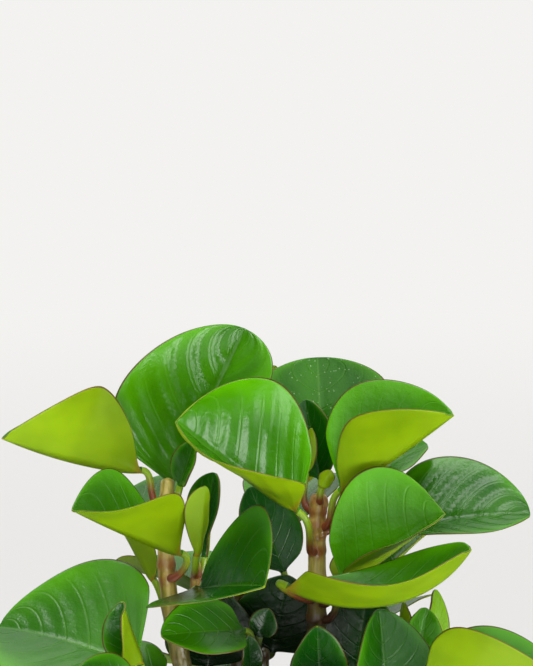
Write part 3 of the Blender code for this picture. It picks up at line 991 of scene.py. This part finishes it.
@dataclass
class Leaf:
    """One leaf: petiole and blade as a single closed skin."""

    row: LeafRow
    route: StemRoute
    look: Look
    petiole_radius: float = 1.6
    petiole_swelling: float = 0.35  # extra girth where it leaves the stem, as a share
    swelling_reach: float = 0.16  # of that, as a share of the petiole's length
    petiole_sweep: float = 0.4  # above 0, the petiole leaves the stem and meets the blade in a curve
    rooted: float = 0.9  # how deep the petiole starts inside the stem
    blend: float = 0.14  # share of the blade over which the round petiole turns flat
    thickness: float = 1.0
    rim_thickness: float = 0.75
    rim_width: float = 0.55  # width of the dark rim on each face
    tip_width: float = 0.5
    base_fold: float = 1.2  # fold at the base, as a share of the row's
    most_fold: float = 166.0  # both halves' folds together
    unfolded_width: float = 5.0  # a half narrower than this opens out
    keel_girth: float = 1.15  # depth of the keel at the base, as a share of the petiole's radius
    keel_width: float = 2.3
    groove_depth: float = 0.9  # of the midrib's groove, as a share of the relief
    groove_width: float = 0.045  # of the groove, as a share of the half blade
    midrib_calm: float = 0.12  # share of the half blade beside the midrib with less quilting
    puff: float = 0.8  # below 1, the cushions are flatter on top and the creases sharper
    waves: float = 1.6  # slow waves in the length of a margin
    wave_shift: float = 1.4  # how far the waves of each half are off, in radians
    low_relief: float = 0.6  # share of the relief that the underside follows
    route_step: float = 3.0  # between the points that stand for the stem's centre line
    petiole_rings: int = 12
    columns_per_mm: float = 0.26
    column_limits: tuple = (7, 20)  # in half a face
    rings_per_mm: float = 0.75
    ring_limits: tuple = (20, 60)
    crowding: float = 0.6  # how much closer the columns lie near the margins, 0 to 1
    end_crowding: float = 0.75  # how much closer the rings lie near base and tip, 0 to 1

    def __post_init__(self) -> None:
        """Works out the leaf's own axes and its mesh density."""
        row = self.row
        self.base = np.array(row.base, float)
        self.ahead = unit(np.array(row.tip, float) - self.base)
        self.chord = float(np.linalg.norm(np.array(row.tip, float) - self.base))
        up = np.array(row.facing, float)
        self.up = unit(up - self.ahead * (up @ self.ahead))
        self.right = np.cross(self.ahead, self.up)
        big = max(self.chord, row.left[0] + row.right[0])
        self.half_count = int(np.clip(big * self.columns_per_mm, *self.column_limits))
        self.stations = int(np.clip(big * self.rings_per_mm, *self.ring_limits))
        self.phase = 2 * math.pi * hash_share(row.name)
        even = np.linspace(-1, 1, 2 * self.half_count + 1)
        self.across = self.crowding * np.sin(even * math.pi / 2) + (1 - self.crowding) * even

    def place(self, t: float) -> tuple[np.ndarray, np.ndarray, np.ndarray]:
        """Finds the midrib at a share of its length.

        Args:
            t: Share of the length, 0 at the base of the blade.

        Returns:
            The point, the midrib's direction and the top face's normal.
        """
        bend = math.radians(self.row.bow) + TINY
        length = self.chord * (bend / 2) / math.sin(bend / 2)
        angle = bend / 2 - bend * t
        along = length / bend * (math.sin(bend / 2) - math.sin(angle))
        rise = length / bend * (math.cos(angle) - math.cos(bend / 2))
        direction = self.ahead * math.cos(angle) + self.up * math.sin(angle)
        normal = self.up * math.cos(angle) - self.ahead * math.sin(angle)
        return self.base + self.ahead * along + self.up * rise, direction, normal

    def outline(self, t: float, widest: float) -> float:
        """Returns the half width at a share of the length, as a share of the widest."""
        if not 0 < t < 1:
            return 0.0
        return math.sin(math.pi * t ** (math.log(0.5) / math.log(widest))) ** self.row.point

    def relief(self, t: float, v: np.ndarray) -> np.ndarray:
        """Height of the quilted surface above the plain blade.

        Args:
            t: Share of the length.
            v: Places across, -1 to 1.

        Returns:
            Heights in mm, 0 at the margins.
        """
        q = np.abs(v)
        face = WaxyLeafFace()
        phase = face.veins * (t - face.sweep * q**VEIN_CURVE)
        puff = np.abs(np.cos(np.pi * phase)) ** self.puff - 0.5
        calm = np.clip(q / self.midrib_calm, 0, 1) * (1 - q**4)
        calm = calm * math.sin(math.pi * min(max(t, 0.0), 1.0)) ** 0.5
        groove = -self.groove_depth * np.exp(-((q / self.groove_width) ** 2)) * (1 - t) ** 0.5
        turn = 2 * np.pi * self.waves * t + self.phase + self.wave_shift * np.sign(v)
        wave = self.look.wave * np.sin(turn) * q**2
        edge = min(1.0, 6 * t) * min(1.0, 6 * (1 - t))
        return self.look.relief * (puff * calm + groove * edge) + wave * edge

    def ring(self, t: float) -> np.ndarray:
        """Returns the closed ring of points round the blade at a share of its length, in mm."""
        point, _, up = self.place(t)
        v = self.across
        q = np.abs(v)
        left, right = self.row.left, self.row.right
        halves = [side[0] * self.outline(t, w) for side, w in zip((left, right), self.row.widest)]
        width = np.hypot(np.where(v > 0, halves[1], halves[0]), self.tip_width)
        opening = self.base_fold - self.row.flare * t
        opening *= min(1.0, self.most_fold / ((left[1] + right[1]) * opening))
        fold = np.radians(np.where(v > 0, right[1], left[1])) * opening
        fold = fold * np.minimum(1.0, width / self.unfolded_width)
        curl = math.radians(self.row.cup) + TINY
        lean = fold + curl * q
        side = np.sign(v) * width * (np.sin(lean) - np.sin(fold)) / curl
        rise = width * (np.cos(fold) - np.cos(lean)) / curl
        middle = (fold[-1] - fold[0]) / 2
        lean = np.where(v == 0, middle, np.sign(v) * lean)
        out = self.right[None, :] * -np.sin(lean)[:, None] + up[None, :] * np.cos(lean)[:, None]
        mean = self.right[None, :] * side[:, None] + up[None, :] * rise[:, None]
        relief = self.relief(t, v)[:, None]
        half = (self.thickness + (self.rim_thickness - self.thickness) * q**6) / 2
        round_off = np.sqrt(np.clip(1 - q**24, 0, 1))
        half_width = math.hypot(sum(halves) / 2, self.tip_width)
        keel = self.petiole_radius * self.keel_girth * (1 - t) ** 1.4
        keel = keel * np.exp(-((v * half_width / self.keel_width) ** 2))
        top = mean + out * (relief + (half * round_off)[:, None])
        low = mean + out * (relief * self.low_relief - (half * round_off + keel)[:, None])
        blade = np.vstack((top, low[-2:0:-1]))
        turn = np.linspace(math.pi, -math.pi, len(blade) + 1)[:-1]
        full = self.right[None, :] * np.cos(turn)[:, None] + up[None, :] * np.sin(turn)[:, None]
        share = max(0.0, 1.0 - t / self.blend) ** 2
        return point + blade * (1 - share) + full * self.petiole_radius * share

    def stem_place(self) -> tuple[np.ndarray, np.ndarray, float]:
        """Returns the stem's centre, direction and radius where the petiole leaves it."""
        path = smooth_path(self.route.points, self.route_step)
        slopes = np.gradient(path, axis=0)
        heights = path[:, 2]
        point = np.array([np.interp(self.row.node, heights, path[:, k]) for k in range(3)])
        slope = np.array([np.interp(self.row.node, heights, slopes[:, k]) for k in range(3)])
        share = np.interp(self.row.node, heights, np.linspace(0.0, 1.0, len(path)))
        return point, unit(slope), float(np.interp(share, (0.0, 1.0), self.route.radius))

    def petiole(self) -> list[np.ndarray]:
        """Returns the rings from inside the stem to just before the blade, in mm."""
        axis, slope, radius = self.stem_place()
        end, ahead, up = self.place(0.0)
        right = self.right
        out = end - axis
        out = unit(out - slope * (out @ slope))
        start = axis + out * (radius - self.rooted)
        reach = self.petiole_sweep * np.linalg.norm(end - start)
        knots = (start, start + out * reach, end - ahead * reach, end)
        turn = np.linspace(math.pi, -math.pi, 4 * self.half_count + 1)[:-1]
        rings = []
        for t in np.arange(self.petiole_rings)[::-1] / self.petiole_rings:
            weights = ((1 - t) ** 3, 3 * t * (1 - t) ** 2, 3 * t**2 * (1 - t), t**3)
            slopes = ((1 - t) ** 2, 2 * t * (1 - t), t**2)
            point = sum(w * p for w, p in zip(weights, knots))
            heading = unit(sum(w * (knots[i + 1] - knots[i]) for i, w in enumerate(slopes)))
            right, up, ahead = turned(right, ahead, heading), turned(up, ahead, heading), heading
            swelling = self.petiole_swelling * math.exp(-((t / self.swelling_reach) ** 2))
            circle = right[None, :] * np.cos(turn)[:, None] + up[None, :] * np.sin(turn)[:, None]
            rings.append(point + circle * (self.petiole_radius * (1 + swelling)))
        return rings[::-1]

    def build(self, finishes: list[bpy.types.Material]) -> bpy.types.Object:
        """Builds the leaf's mesh, its map and its tone.

        Args:
            finishes: Top face, underside and petiole materials.

        Returns:
            The leaf's object.
        """
        shares = 0.5 - 0.5 * np.cos(np.linspace(0, math.pi, self.stations))
        even = np.linspace(0, 1, self.stations)
        shares = self.end_crowding * shares + (1 - self.end_crowding) * even
        petiole = self.petiole()
        rings = np.array(petiole + [self.ring(float(t)) for t in shares]) * MM
        made = skin(self.row.name + "_finished", rings, finishes)
        self.dress(made.data, len(petiole), shares)
        return made

    def dress(self, mesh: bpy.types.Mesh, stalk: int, shares: np.ndarray) -> None:
        """Gives faces their slots, and corners the leaf's map.

        Args:
            mesh: The leaf's mesh, ring by ring.
            stalk: How many rings belong to the petiole.
            shares: The blade rings' shares of its length.
        """
        count = 4 * self.half_count
        across = np.concatenate((self.across, self.across[-2:0:-1])) * 0.5 + 0.5
        along = np.concatenate((np.arange(stalk) / stalk, shares))
        quads = (len(along) - 1) * count
        row, column = np.divmod(np.arange(quads), count)
        slots = np.where(row < stalk, 2, np.where(column < 2 * self.half_count, 0, 1))
        slots = np.concatenate((slots, (2, 1)))
        mesh.polygons.foreach_set("material_index", slots)
        sizes = np.empty(len(mesh.polygons), int)
        mesh.polygons.foreach_get("loop_total", sizes)
        corners = np.empty(len(mesh.loops), int)
        mesh.loops.foreach_get("vertex_index", corners)
        row, column = np.divmod(corners, count)
        joint = (row == stalk) & (np.repeat(slots, sizes) == 2)
        spots = np.column_stack((across[column], np.where(joint, 1.0, along[row])))
        mesh.uv_layers.new(name="blade").data.foreach_set("uv", spots.ravel())
        tone = mesh.color_attributes.new("tone", "FLOAT_COLOR", "POINT")
        look = self.look
        rim = self.rim_width * 2 / (self.row.left[0] + self.row.right[0])
        # the tone carries age, painted light and shade, dust and rim width
        colour = (look.age.value, look.light, look.dust, rim)
        tone.data.foreach_set("color", np.tile(colour, len(mesh.vertices)))


def hash_share(name: str) -> float:
    """Returns a fixed number between 0 and 1 for a name."""
    return (sum((i + 1) * ord(c) for i, c in enumerate(name)) * 37 % 101) / 101


@dataclass
class Foliage:
    """All leaves of the plant, one piece for each."""

    rows: tuple = LEAVES

    def finishes(self) -> list[bpy.types.Material]:
        """Returns the three finishes that every leaf wears."""
        return [WaxyLeafFace().make(), LeafUnderside().make(), PetioleSkin().make()]

    def build(self) -> list[bpy.types.Object]:
        """Builds every leaf and puts it in its node's place.

        Returns:
            The leaves' objects.
        """
        routes = {route.name: route for route in STEMS}
        finishes = self.finishes()
        made = []
        for row in self.rows:
            look = LOOKS.get(row.name, Look())
            leaf = Leaf(row, routes[row.stem], look).build(finishes)
            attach(leaf, BODY)
            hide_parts(row.name)
            made.append(leaf)
        return made


class NodeTree:
    """A Geometry Nodes tree with named inputs, run once on a mesh."""

    def __init__(self, name: str, inputs: dict[str, tuple[str, object]]) -> None:
        """Starts the tree.

        Args:
            name: The tree's name.
            inputs: Socket type and value of each input, by name.
        """
        self.tree = bpy.data.node_groups.new(name, "GeometryNodeTree")
        face = self.tree.interface
        face.new_socket("Geometry", in_out="INPUT", socket_type="NodeSocketGeometry")
        face.new_socket("Geometry", in_out="OUTPUT", socket_type="NodeSocketGeometry")
        self.values = {}
        for label, (kind, value) in inputs.items():
            made = face.new_socket(label, in_out="INPUT", socket_type=kind)
            self.values[made.identifier] = value
        self.source = self.add("NodeGroupInput")
        self.sink = self.add("NodeGroupOutput")

    def add(
        self,
        kind: str,
        settings: dict | None = None,
        values: dict | None = None,
        links: dict | None = None,
    ) -> bpy.types.Node:
        """Adds a node to the tree, as add_node does."""
        return add_node(self.tree, kind, settings, values, links)

    def end(self, geometry: bpy.types.NodeSocket) -> None:
        """Realizes the result, gives it the material of the input named Finish, and puts it out."""
        whole = self.add("GeometryNodeRealizeInstances", None, None, {0: geometry})
        links = {"Geometry": whole.outputs[0], "Material": self.source.outputs["Finish"]}
        dressed = self.add("GeometryNodeSetMaterial", None, None, links)
        self.tree.links.new(dressed.outputs[0], self.sink.inputs[0])

    def run(self, base: bpy.types.Object, name: str) -> bpy.types.Object:
        """Runs the tree on an object and keeps the result as a plain mesh.

        Args:
            base: Object whose mesh goes in; it is removed.
            name: Name of the finished object.

        Returns:
            The finished object.
        """
        modifier = base.modifiers.new("shape", "NODES")
        modifier.node_group = self.tree
        for identifier, value in self.values.items():
            modifier[identifier] = value
        graph = bpy.context.evaluated_depsgraph_get()
        mesh = bpy.data.meshes.new_from_object(base.evaluated_get(graph))
        old = base.data
        bpy.data.objects.remove(base)
        bpy.data.meshes.remove(old)
        mesh.name = name
        face_out(mesh)
        mesh.shade_smooth()
        return mesh_object(name, mesh)


@dataclass
class StemSet:
    """The fleshy stems, each swept along its route with a swelling at every leaf."""

    routes: tuple = STEMS
    sides: int = 28
    step: float = 1.0  # distance between rings
    swelling: float = 0.11  # extra girth at a node, as a share
    node_reach: float = 2.6  # height of a swelling
    notch: float = 0.05  # girth lost in the crease under a node, as a share
    notch_drop: float = 2.2  # how far the crease lies below the node
    notch_reach: float = 0.7
    scar_reach: float = 7.0  # height of the red blush round a node
    scar_strength: float = 0.6  # of an old scar, as a share of a node's
    scar_margins: tuple = (9.0, 6.0)  # bare length at the foot and below the top
    scar_spacing: tuple = (17.0, 6.0)  # least distance between old scars, and what a stem may add
    dome: float = 2.4  # height of the blunt top
    crown: float = 0.05  # height of the last ring over the route's end
    least: float = 0.004  # square of the last ring's share of the radius

    def girths(self, route: StemRoute, path: np.ndarray) -> tuple[np.ndarray, np.ndarray]:
        """Works out a stem's girth and blush along its route.

        Args:
            route: The stem.
            path: Points of its centre line.

        Returns:
            The radius in mm and the red blush, 0 to 1, at each point.
        """
        heights = path[:, 2]
        radius = np.interp(np.linspace(0, 1, len(path)), (0, 1), route.radius)
        nodes = [row.node for row in LEAVES if row.stem == route.name]
        bare_foot, bare_top = self.scar_margins
        spacing = self.scar_spacing[0] + self.scar_spacing[1] * hash_share(route.name)
        scars = np.arange(heights[0] + bare_foot, heights[-1] - bare_top, spacing)
        blush = np.zeros(len(path))
        for height, strength in [(n, 1.0) for n in nodes] + [(s, self.scar_strength) for s in scars]:
            off = heights - height
            radius *= 1 + self.swelling * strength * np.exp(-((off / self.node_reach) ** 2))
            crease = (off + self.notch_drop) / self.notch_reach
            radius *= 1 - self.notch * strength * np.exp(-(crease**2))
            blush = np.maximum(blush, strength * np.exp(-((off / self.scar_reach) ** 2)))
        left = np.linalg.norm(path - path[-1], axis=1)
        radius *= np.sqrt(np.clip(1 - (1 - np.clip(left / self.dome, 0, 1)) ** 2, self.least, 1))
        return radius, blush

    def tree(self, finish: bpy.types.Material) -> NodeTree:
        """Writes the tree that sweeps a round skin along a chain of edges.

        Args:
            finish: The stem's material.

        Returns:
            The tree.
        """
        inputs = {"Sides": ("NodeSocketInt", self.sides), "Finish": ("NodeSocketMaterial", finish)}
        tree = NodeTree("stem_sweep", inputs)
        chain = tree.add("GeometryNodeMeshToCurve", None, None, {0: tree.source.outputs["Geometry"]})
        ring = tree.add(
            "GeometryNodeCurvePrimitiveCircle",
            {"mode": "RADIUS"},
            {"Radius": 1.0},
            {"Resolution": tree.source.outputs["Sides"]},
        )
        girth = tree.add("GeometryNodeInputNamedAttribute", {"data_type": "FLOAT"}, {"Name": "girth"})
        links = {"Curve": chain.outputs[0], "Profile Curve": ring.outputs[0], "Scale": girth.outputs[0]}
        swept = tree.add("GeometryNodeCurveToMesh", None, {"Fill Caps": True}, links)
        tree.end(swept.outputs[0])
        return tree

    def build(self) -> list[bpy.types.Object]:
        """Builds every stem and puts it in its node's place.

        Returns:
            The stems' objects.
        """
        tree = self.tree(StemSkin().make())
        made = []
        for route in self.routes:
            path = smooth_path(route.points, self.step)
            crown = path[-1] + unit(path[-1] - path[-2]) * self.crown
            path = np.vstack((path, crown))
            radius, blush = self.girths(route, path)
            mesh = bpy.data.meshes.new(route.name + "_chain")
            edges = [(k, k + 1) for k in range(len(path) - 1)]
            mesh.from_pydata((path * MM).tolist(), edges, [])
            for label, values in (("girth", radius * MM), ("ring", blush)):
                mesh.attributes.new(label, "FLOAT", "POINT").data.foreach_set("value", values)
            stem = tree.run(mesh_object(route.name + "_chain", mesh), route.name + "_finished")
            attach(stem, BODY)
            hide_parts(route.name)
            made.append(stem)
        return made


@dataclass
class Pot:
    """Plain tapered pot with a rounded foot and rim."""

    height: float = 105.0
    base_radius: float = 44.0
    rim_radius: float = 60.0
    wall: float = 4.0
    floor: float = 6.0
    edge: float = 2.0  # rounding of the foot
    recess: float = 1.2  # height of the hollow under the foot
    foot_ring: tuple = (9.0, 7.5)  # how far inside the base the hollow ends and the foot ring starts
    cove: float = 3.0  # slope between the floor and the wall
    pole: float = 0.6  # radius of the small flats on the axis
    sides: int = 160

    def outer(self, height: float) -> float:
        """Returns the outer radius at a height, in mm."""
        return self.base_radius + (self.rim_radius - self.base_radius) * height / self.height

    def profile(self) -> np.ndarray:
        """Returns the half section from the foot's middle, up the outside and down the inside, in mm."""
        rim = self.height - self.wall / 2
        hollow, ring = (self.base_radius - inset for inset in self.foot_ring)
        points = [(self.pole, self.recess), (hollow, self.recess), (ring, 0.0)]
        for angle in np.radians(np.linspace(-90, -8, 7)):
            centre = self.base_radius - self.edge
            points.append((centre + self.edge * math.cos(angle), self.edge + self.edge * math.sin(angle)))
        points += [(self.outer(h), h) for h in np.linspace(6, rim - 1, 34)]
        for angle in np.radians(np.linspace(0, 180, 13)):
            middle = self.outer(rim) - self.wall / 2
            points.append((middle + self.wall / 2 * math.cos(angle), rim + self.wall / 2 * math.sin(angle)))
        inner = np.linspace(rim - 1, self.floor + self.cove, 24)
        points += [(self.outer(h) - self.wall, h) for h in inner]
        corner = self.outer(self.floor) - self.wall - self.cove
        points += [(corner, self.floor), (self.pole, self.floor)]
        return np.array(points)

    def build(self) -> bpy.types.Object:
        """Builds the pot and puts it in its node's place.

        Returns:
            The pot's object.
        """
        made = lathe("pot_finished", self.profile(), self.sides, [BisqueCeramic().make()])
        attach(made, BODY)
        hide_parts("pot")
        return made


def lathe(
    name: str, profile: np.ndarray, sides: int, materials: list[bpy.types.Material]
) -> bpy.types.Object:
    """Turns a half section round the pot's axis.

    Args:
        name: The object's name.
        profile: Radius and height rows, in mm.
        sides: How many sides the turn has.
        materials: The object's material slots.

    Returns:
        The object.
    """
    turn = np.linspace(0, 2 * math.pi, sides, endpoint=False)
    x = profile[:, 0, None] * np.cos(turn)
    y = profile[:, 0, None] * np.sin(turn)
    z = np.repeat(profile[:, 1, None], sides, axis=1)
    return skin(name, np.stack((x, y, z), axis=-1) * MM, materials)


@dataclass
class Soil:
    """The potting mix: an uneven bed with crumbs of bark and grains of perlite on top."""

    top: float = 95.5
    low: float = 6.5
    low_radius: float = 40.5
    top_radius: float = 54.2
    side: float = 4.0  # height of the bed's straight side below its top
    pole: float = 0.5  # radius of the small flats on the axis
    calm_edge: float = 6.0  # width of the level edge against the pot
    mound: float = 0.5  # mean height of the bed over its edge
    lump: float = 0.7  # height of a lump
    crumbs: float = 130000.0  # bark crumbs in a square metre
    crumb_sizes: tuple = (0.0007, 0.0023)  # in metres
    grains: float = 9000.0  # perlite grains in a square metre
    grain_sizes: tuple = (0.0008, 0.002)  # in metres
    level: float = 0.6  # least upward share of the normal where a grain may lie
    full_turn: float = 6.28
    sides: int = 120
    seed: int = 11

    def bed(self, finish: bpy.types.Material) -> bpy.types.Object:
        """Builds the uneven bed.

        Args:
            finish: The soil's material.

        Returns:
            The bed's object.
        """
        radii = np.linspace(self.top_radius, self.pole, 44)
        rows = np.column_stack((radii, np.full(len(radii), self.top)))
        corner = (self.top_radius, self.top - self.side)
        foot = np.array(((self.pole, self.low), (self.low_radius, self.low), corner))
        made = lathe("potting_soil_finished", np.vstack((foot, rows)), self.sides, [finish])
        for vertex in made.data.vertices:
            x, y, z = vertex.co / MM
            if z > self.top - 1:
                swell = math.sin(x * 0.31 + 1.7) * math.cos(y * 0.27 - 0.6)
                ripple = 0.6 * math.sin(x * 0.83 + y * 0.71)
                edge = min(1.0, (self.top_radius - math.hypot(x, y)) / self.calm_edge)
                vertex.co.z += (self.mound + self.lump * (swell + ripple)) * MM * edge
        return made

    def scatter(
        self, bed: bpy.types.Object, name: str, density: float, sizes: tuple, finish: bpy.types.Material
    ) -> bpy.types.Object:
        """Scatters small angular grains over the bed's top.

        Args:
            bed: The bed's object.
            name: Name of the grains' object.
            density: Grains in a square metre.
            sizes: Smallest and largest grain, in metres.
            finish: The grains' material.

        Returns:
            The grains' object.
        """
        kinds = {"Density": density, "Smallest": sizes[0], "Largest": sizes[1]}
        inputs = {label: ("NodeSocketFloat", value) for label, value in kinds.items()}
        inputs |= {"Seed": ("NodeSocketInt", self.seed), "Finish": ("NodeSocketMaterial", finish)}
        tree = NodeTree(name + "_scatter", inputs)
        ports = tree.source.outputs
        normal = tree.add("GeometryNodeInputNormal")
        split = tree.add("ShaderNodeSeparateXYZ", None, None, {0: normal.outputs[0]})
        number = {"data_type": "FLOAT"}
        vector = {"data_type": "FLOAT_VECTOR"}
        upward = tree.add("FunctionNodeCompare", number, {1: self.level}, {0: split.outputs[2]})
        where = {"Mesh": ports["Geometry"], "Selection": upward.outputs[0]}
        where |= {"Density": ports["Density"], "Seed": ports["Seed"]}
        random = {"distribute_method": "RANDOM"}
        points = tree.add("GeometryNodeDistributePointsOnFaces", random, None, where)
        grain = tree.add("GeometryNodeMeshIcoSphere", None, {"Radius": 1.0, "Subdivisions": 1})
        size = tree.add("FunctionNodeRandomValue", number)
        tree.tree.links.new(ports["Smallest"], next(s for s in size.inputs if s.identifier == "Min_001"))
        tree.tree.links.new(ports["Largest"], next(s for s in size.inputs if s.identifier == "Max_001"))
        shape = tree.add("FunctionNodeRandomValue", vector, {0: (0.5, 0.5, 0.35), 1: (1.2, 1.0, 0.8)})
        girth = {0: shape.outputs[0], "Scale": size.outputs[1]}
        scale = tree.add("ShaderNodeVectorMath", {"operation": "SCALE"}, None, girth)
        turn = tree.add("FunctionNodeRandomValue", vector, {0: (0, 0, 0), 1: (self.full_turn,) * 3})
        spread = {"Points": points.outputs["Points"], "Instance": grain.outputs[0]}
        spread |= {"Rotation": turn.outputs[0], "Scale": scale.outputs[0]}
        tree.end(tree.add("GeometryNodeInstanceOnPoints", None, None, spread).outputs[0])
        made = tree.run(mesh_object(name + "_base", bed.data.copy()), name)
        made.data.shade_flat()
        return made

    def build(self) -> list[bpy.types.Object]:
        """Builds the bed and its grains and puts them in the soil's place.

        Returns:
            The soil's objects.
        """
        mix = PottingMix().make()
        bed = self.bed(mix)
        bark = self.scatter(bed, "bark_crumbs", self.crumbs, self.crumb_sizes, mix)
        white = Perlite().make()
        perlite = self.scatter(bed, "perlite_grains", self.grains, self.grain_sizes, white)
        pieces = [bed, bark, perlite]
        for piece in pieces:
            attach(piece, BODY)
            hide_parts("potting_soil")
        return pieces


# ---------------------------------------------------------------- studio


@dataclass(frozen=True)
class PaperBackdrop:
    """Seamless paper lit from behind: an even warm white, with a soft shadow only under the plant."""

    white: str = "#f3f2f0"
    paper: str = "#7d7c7b"
    glow_share: float = 0.6  # part of the white that the floor near the pot has by itself
    floor_reach: float = 0.5  # where the lit floor starts to fade into the glowing wall, in metres
    wall_reach: float = 2.4  # where only the glow is left, in metres

    def make(self) -> bpy.types.Material:
        """Returns the material."""
        uniform = {"Roughness": 0.95, "Specular IOR Level": 0.0, "Emission Strength": 1.0}
        surface = Surface("seamless_paper", uniform)
        maths = surface.maths
        share = maths.ramp(maths.length(surface.place), self.floor_reach, self.wall_reach)
        white = linear(self.white)
        glow = tuple(part * self.glow_share for part in white[:3]) + (1.0,)
        surface.feed("Base Color", maths.mix(share, linear(self.paper), (0.0, 0.0, 0.0, 1.0)))
        surface.feed("Emission Color", maths.mix(share, glow, white))
        return surface.material


@dataclass(frozen=True)
class SoftWindow:
    """A round patch of bright sky, like a softbox so far away that it lights everything alike."""

    toward: tuple
    edge: tuple  # cosines of the angles from its middle at which it starts and is full
    radiance: float


@dataclass
class Studio:
    """Pale seamless bowl, a soft sky with brighter patches, and the camera. Lengths are metres."""

    floor_radius: float = 2.6
    wall_radius: float = 3.8
    wall_height: float = 2.6
    lens: float = 100.0  # focal length, in mm
    sensor: float = 36.0  # width, in mm
    distance: float = 0.8333
    elevation: float = 8.0  # in degrees
    aim_above_rim: float = 0.190
    far: float = 30.0  # how far the camera sees
    front_sky: float = 0.16
    back_sky: float = 0.7
    back_edge: tuple = (-0.5, 0.8)  # share of a direction that points back, from dim to bright
    low_share: float = 0.35  # share of the sky's light that comes from below the horizon
    low_edge: tuple = (-0.25, 0.15)  # share of a direction that points up, from low to full
    windows: tuple = (
        SoftWindow((-0.14, 0.38, 0.91), (0.82, 0.94), 1.2),
        SoftWindow((-0.28, -0.08, 0.95), (0.96, 0.99), 7.0),
        SoftWindow((0.78, -0.60, -0.15), (0.95, 0.985), 11.0),
        SoftWindow((0.0, -0.85, 0.52), (0.45, 0.95), 1.5),
        SoftWindow((0.0, -0.84, -0.54), (0.96, 0.99), 6.0),
        SoftWindow((-0.15, -0.50, -0.85), (0.55, 0.95), 1.6),
    )

    def backdrop(self) -> None:
        """Builds the floor and its curved wall as one surface that lights nothing on the plant."""
        rows = [(r, 0.0) for r in (0.001, 0.5, 1.0, 1.6, 2.2, self.floor_radius)]
        for angle in np.radians(np.linspace(6, 90, 15)):
            reach = self.wall_radius - self.floor_radius
            rows.append((self.floor_radius + reach * math.sin(angle), reach * (1 - math.cos(angle))))
        rows.append((self.wall_radius, self.wall_height))
        profile = np.array(rows) / MM
        made = lathe("backdrop", profile, 96, [PaperBackdrop().make()])
        work = bmesh.new()
        work.from_mesh(made.data)
        work.faces.ensure_lookup_table()
        bmesh.ops.delete(work, geom=[work.faces[-1]], context="FACES_ONLY")
        bmesh.ops.reverse_faces(work, faces=work.faces)
        work.to_mesh(made.data)
        work.free()
        made.visible_diffuse = made.visible_glossy = made.visible_shadow = False

    def lights(self) -> None:
        """Sets the sky: dim in front, brighter behind, with the soft patches."""
        world = bpy.data.worlds.new("studio")
        world.use_nodes = True
        tree = world.node_tree
        maths = Maths(tree)
        toward = add_node(tree, "ShaderNodeTexCoord").outputs["Generated"]
        split = add_node(tree, "ShaderNodeSeparateXYZ", None, None, {0: toward})
        behind = maths.ramp(split.outputs["Y"], *self.back_edge)
        light = maths.run("MULTIPLY_ADD", behind, self.back_sky - self.front_sky, self.front_sky)
        above = maths.ramp(split.outputs["Z"], *self.low_edge)
        share = maths.run("MULTIPLY_ADD", above, 1.0 - self.low_share, self.low_share)
        light = maths.run("MULTIPLY", light, share)
        dot = {"operation": "DOT_PRODUCT"}
        for window in self.windows:
            axis = Vector(window.toward).normalized()
            near = add_node(tree, "ShaderNodeVectorMath", dot, {1: axis}, {0: toward})
            full = maths.ramp(near.outputs["Value"], *window.edge)
            light = maths.run("MULTIPLY_ADD", full, window.radiance, light)
        background = tree.nodes["Background"]
        background.inputs["Color"].default_value = linear("#ffffff")
        tree.links.new(light, background.inputs["Strength"])
        bpy.context.scene.world = world

    def camera(self) -> None:
        """Sets the camera a little above the leaves, looking slightly down."""
        scene = bpy.context.scene
        scene.view_settings.view_transform = "Standard"
        data = bpy.data.cameras.new("camera")
        data.lens = self.lens
        data.sensor_width = self.sensor
        data.clip_end = self.far
        made = bpy.data.objects.new("camera", data)
        scene.collection.objects.link(made)
        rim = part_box("pot")[1].z
        aim = Vector((0.0, 0.0, rim + self.aim_above_rim))
        tilt = math.radians(self.elevation)
        made.location = aim + Vector((0.0, -math.cos(tilt), math.sin(tilt))) * self.distance
        made.rotation_euler = (aim - made.location).to_track_quat("-Z", "Y").to_euler()
        scene.camera = made

    def build(self) -> None:
        """Sets up the whole studio."""
        self.camera()
        self.backdrop()
        self.lights()


def report(label: str, pieces: list[bpy.types.Object]) -> None:
    """Logs each piece's name and face count."""
    for piece in pieces:
        log.info("%s: %s, %d faces", label, piece.name, len(piece.data.polygons))


def main() -> None:
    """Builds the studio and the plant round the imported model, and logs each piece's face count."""
    logging.basicConfig(level=logging.INFO, format="%(name)s %(message)s")
    Studio().build()
    report("pot", [Pot().build()])
    report("soil", Soil().build())
    report("stem", StemSet().build())
    report("leaf", Foliage().build())


if __name__ == "__main__":
    main()
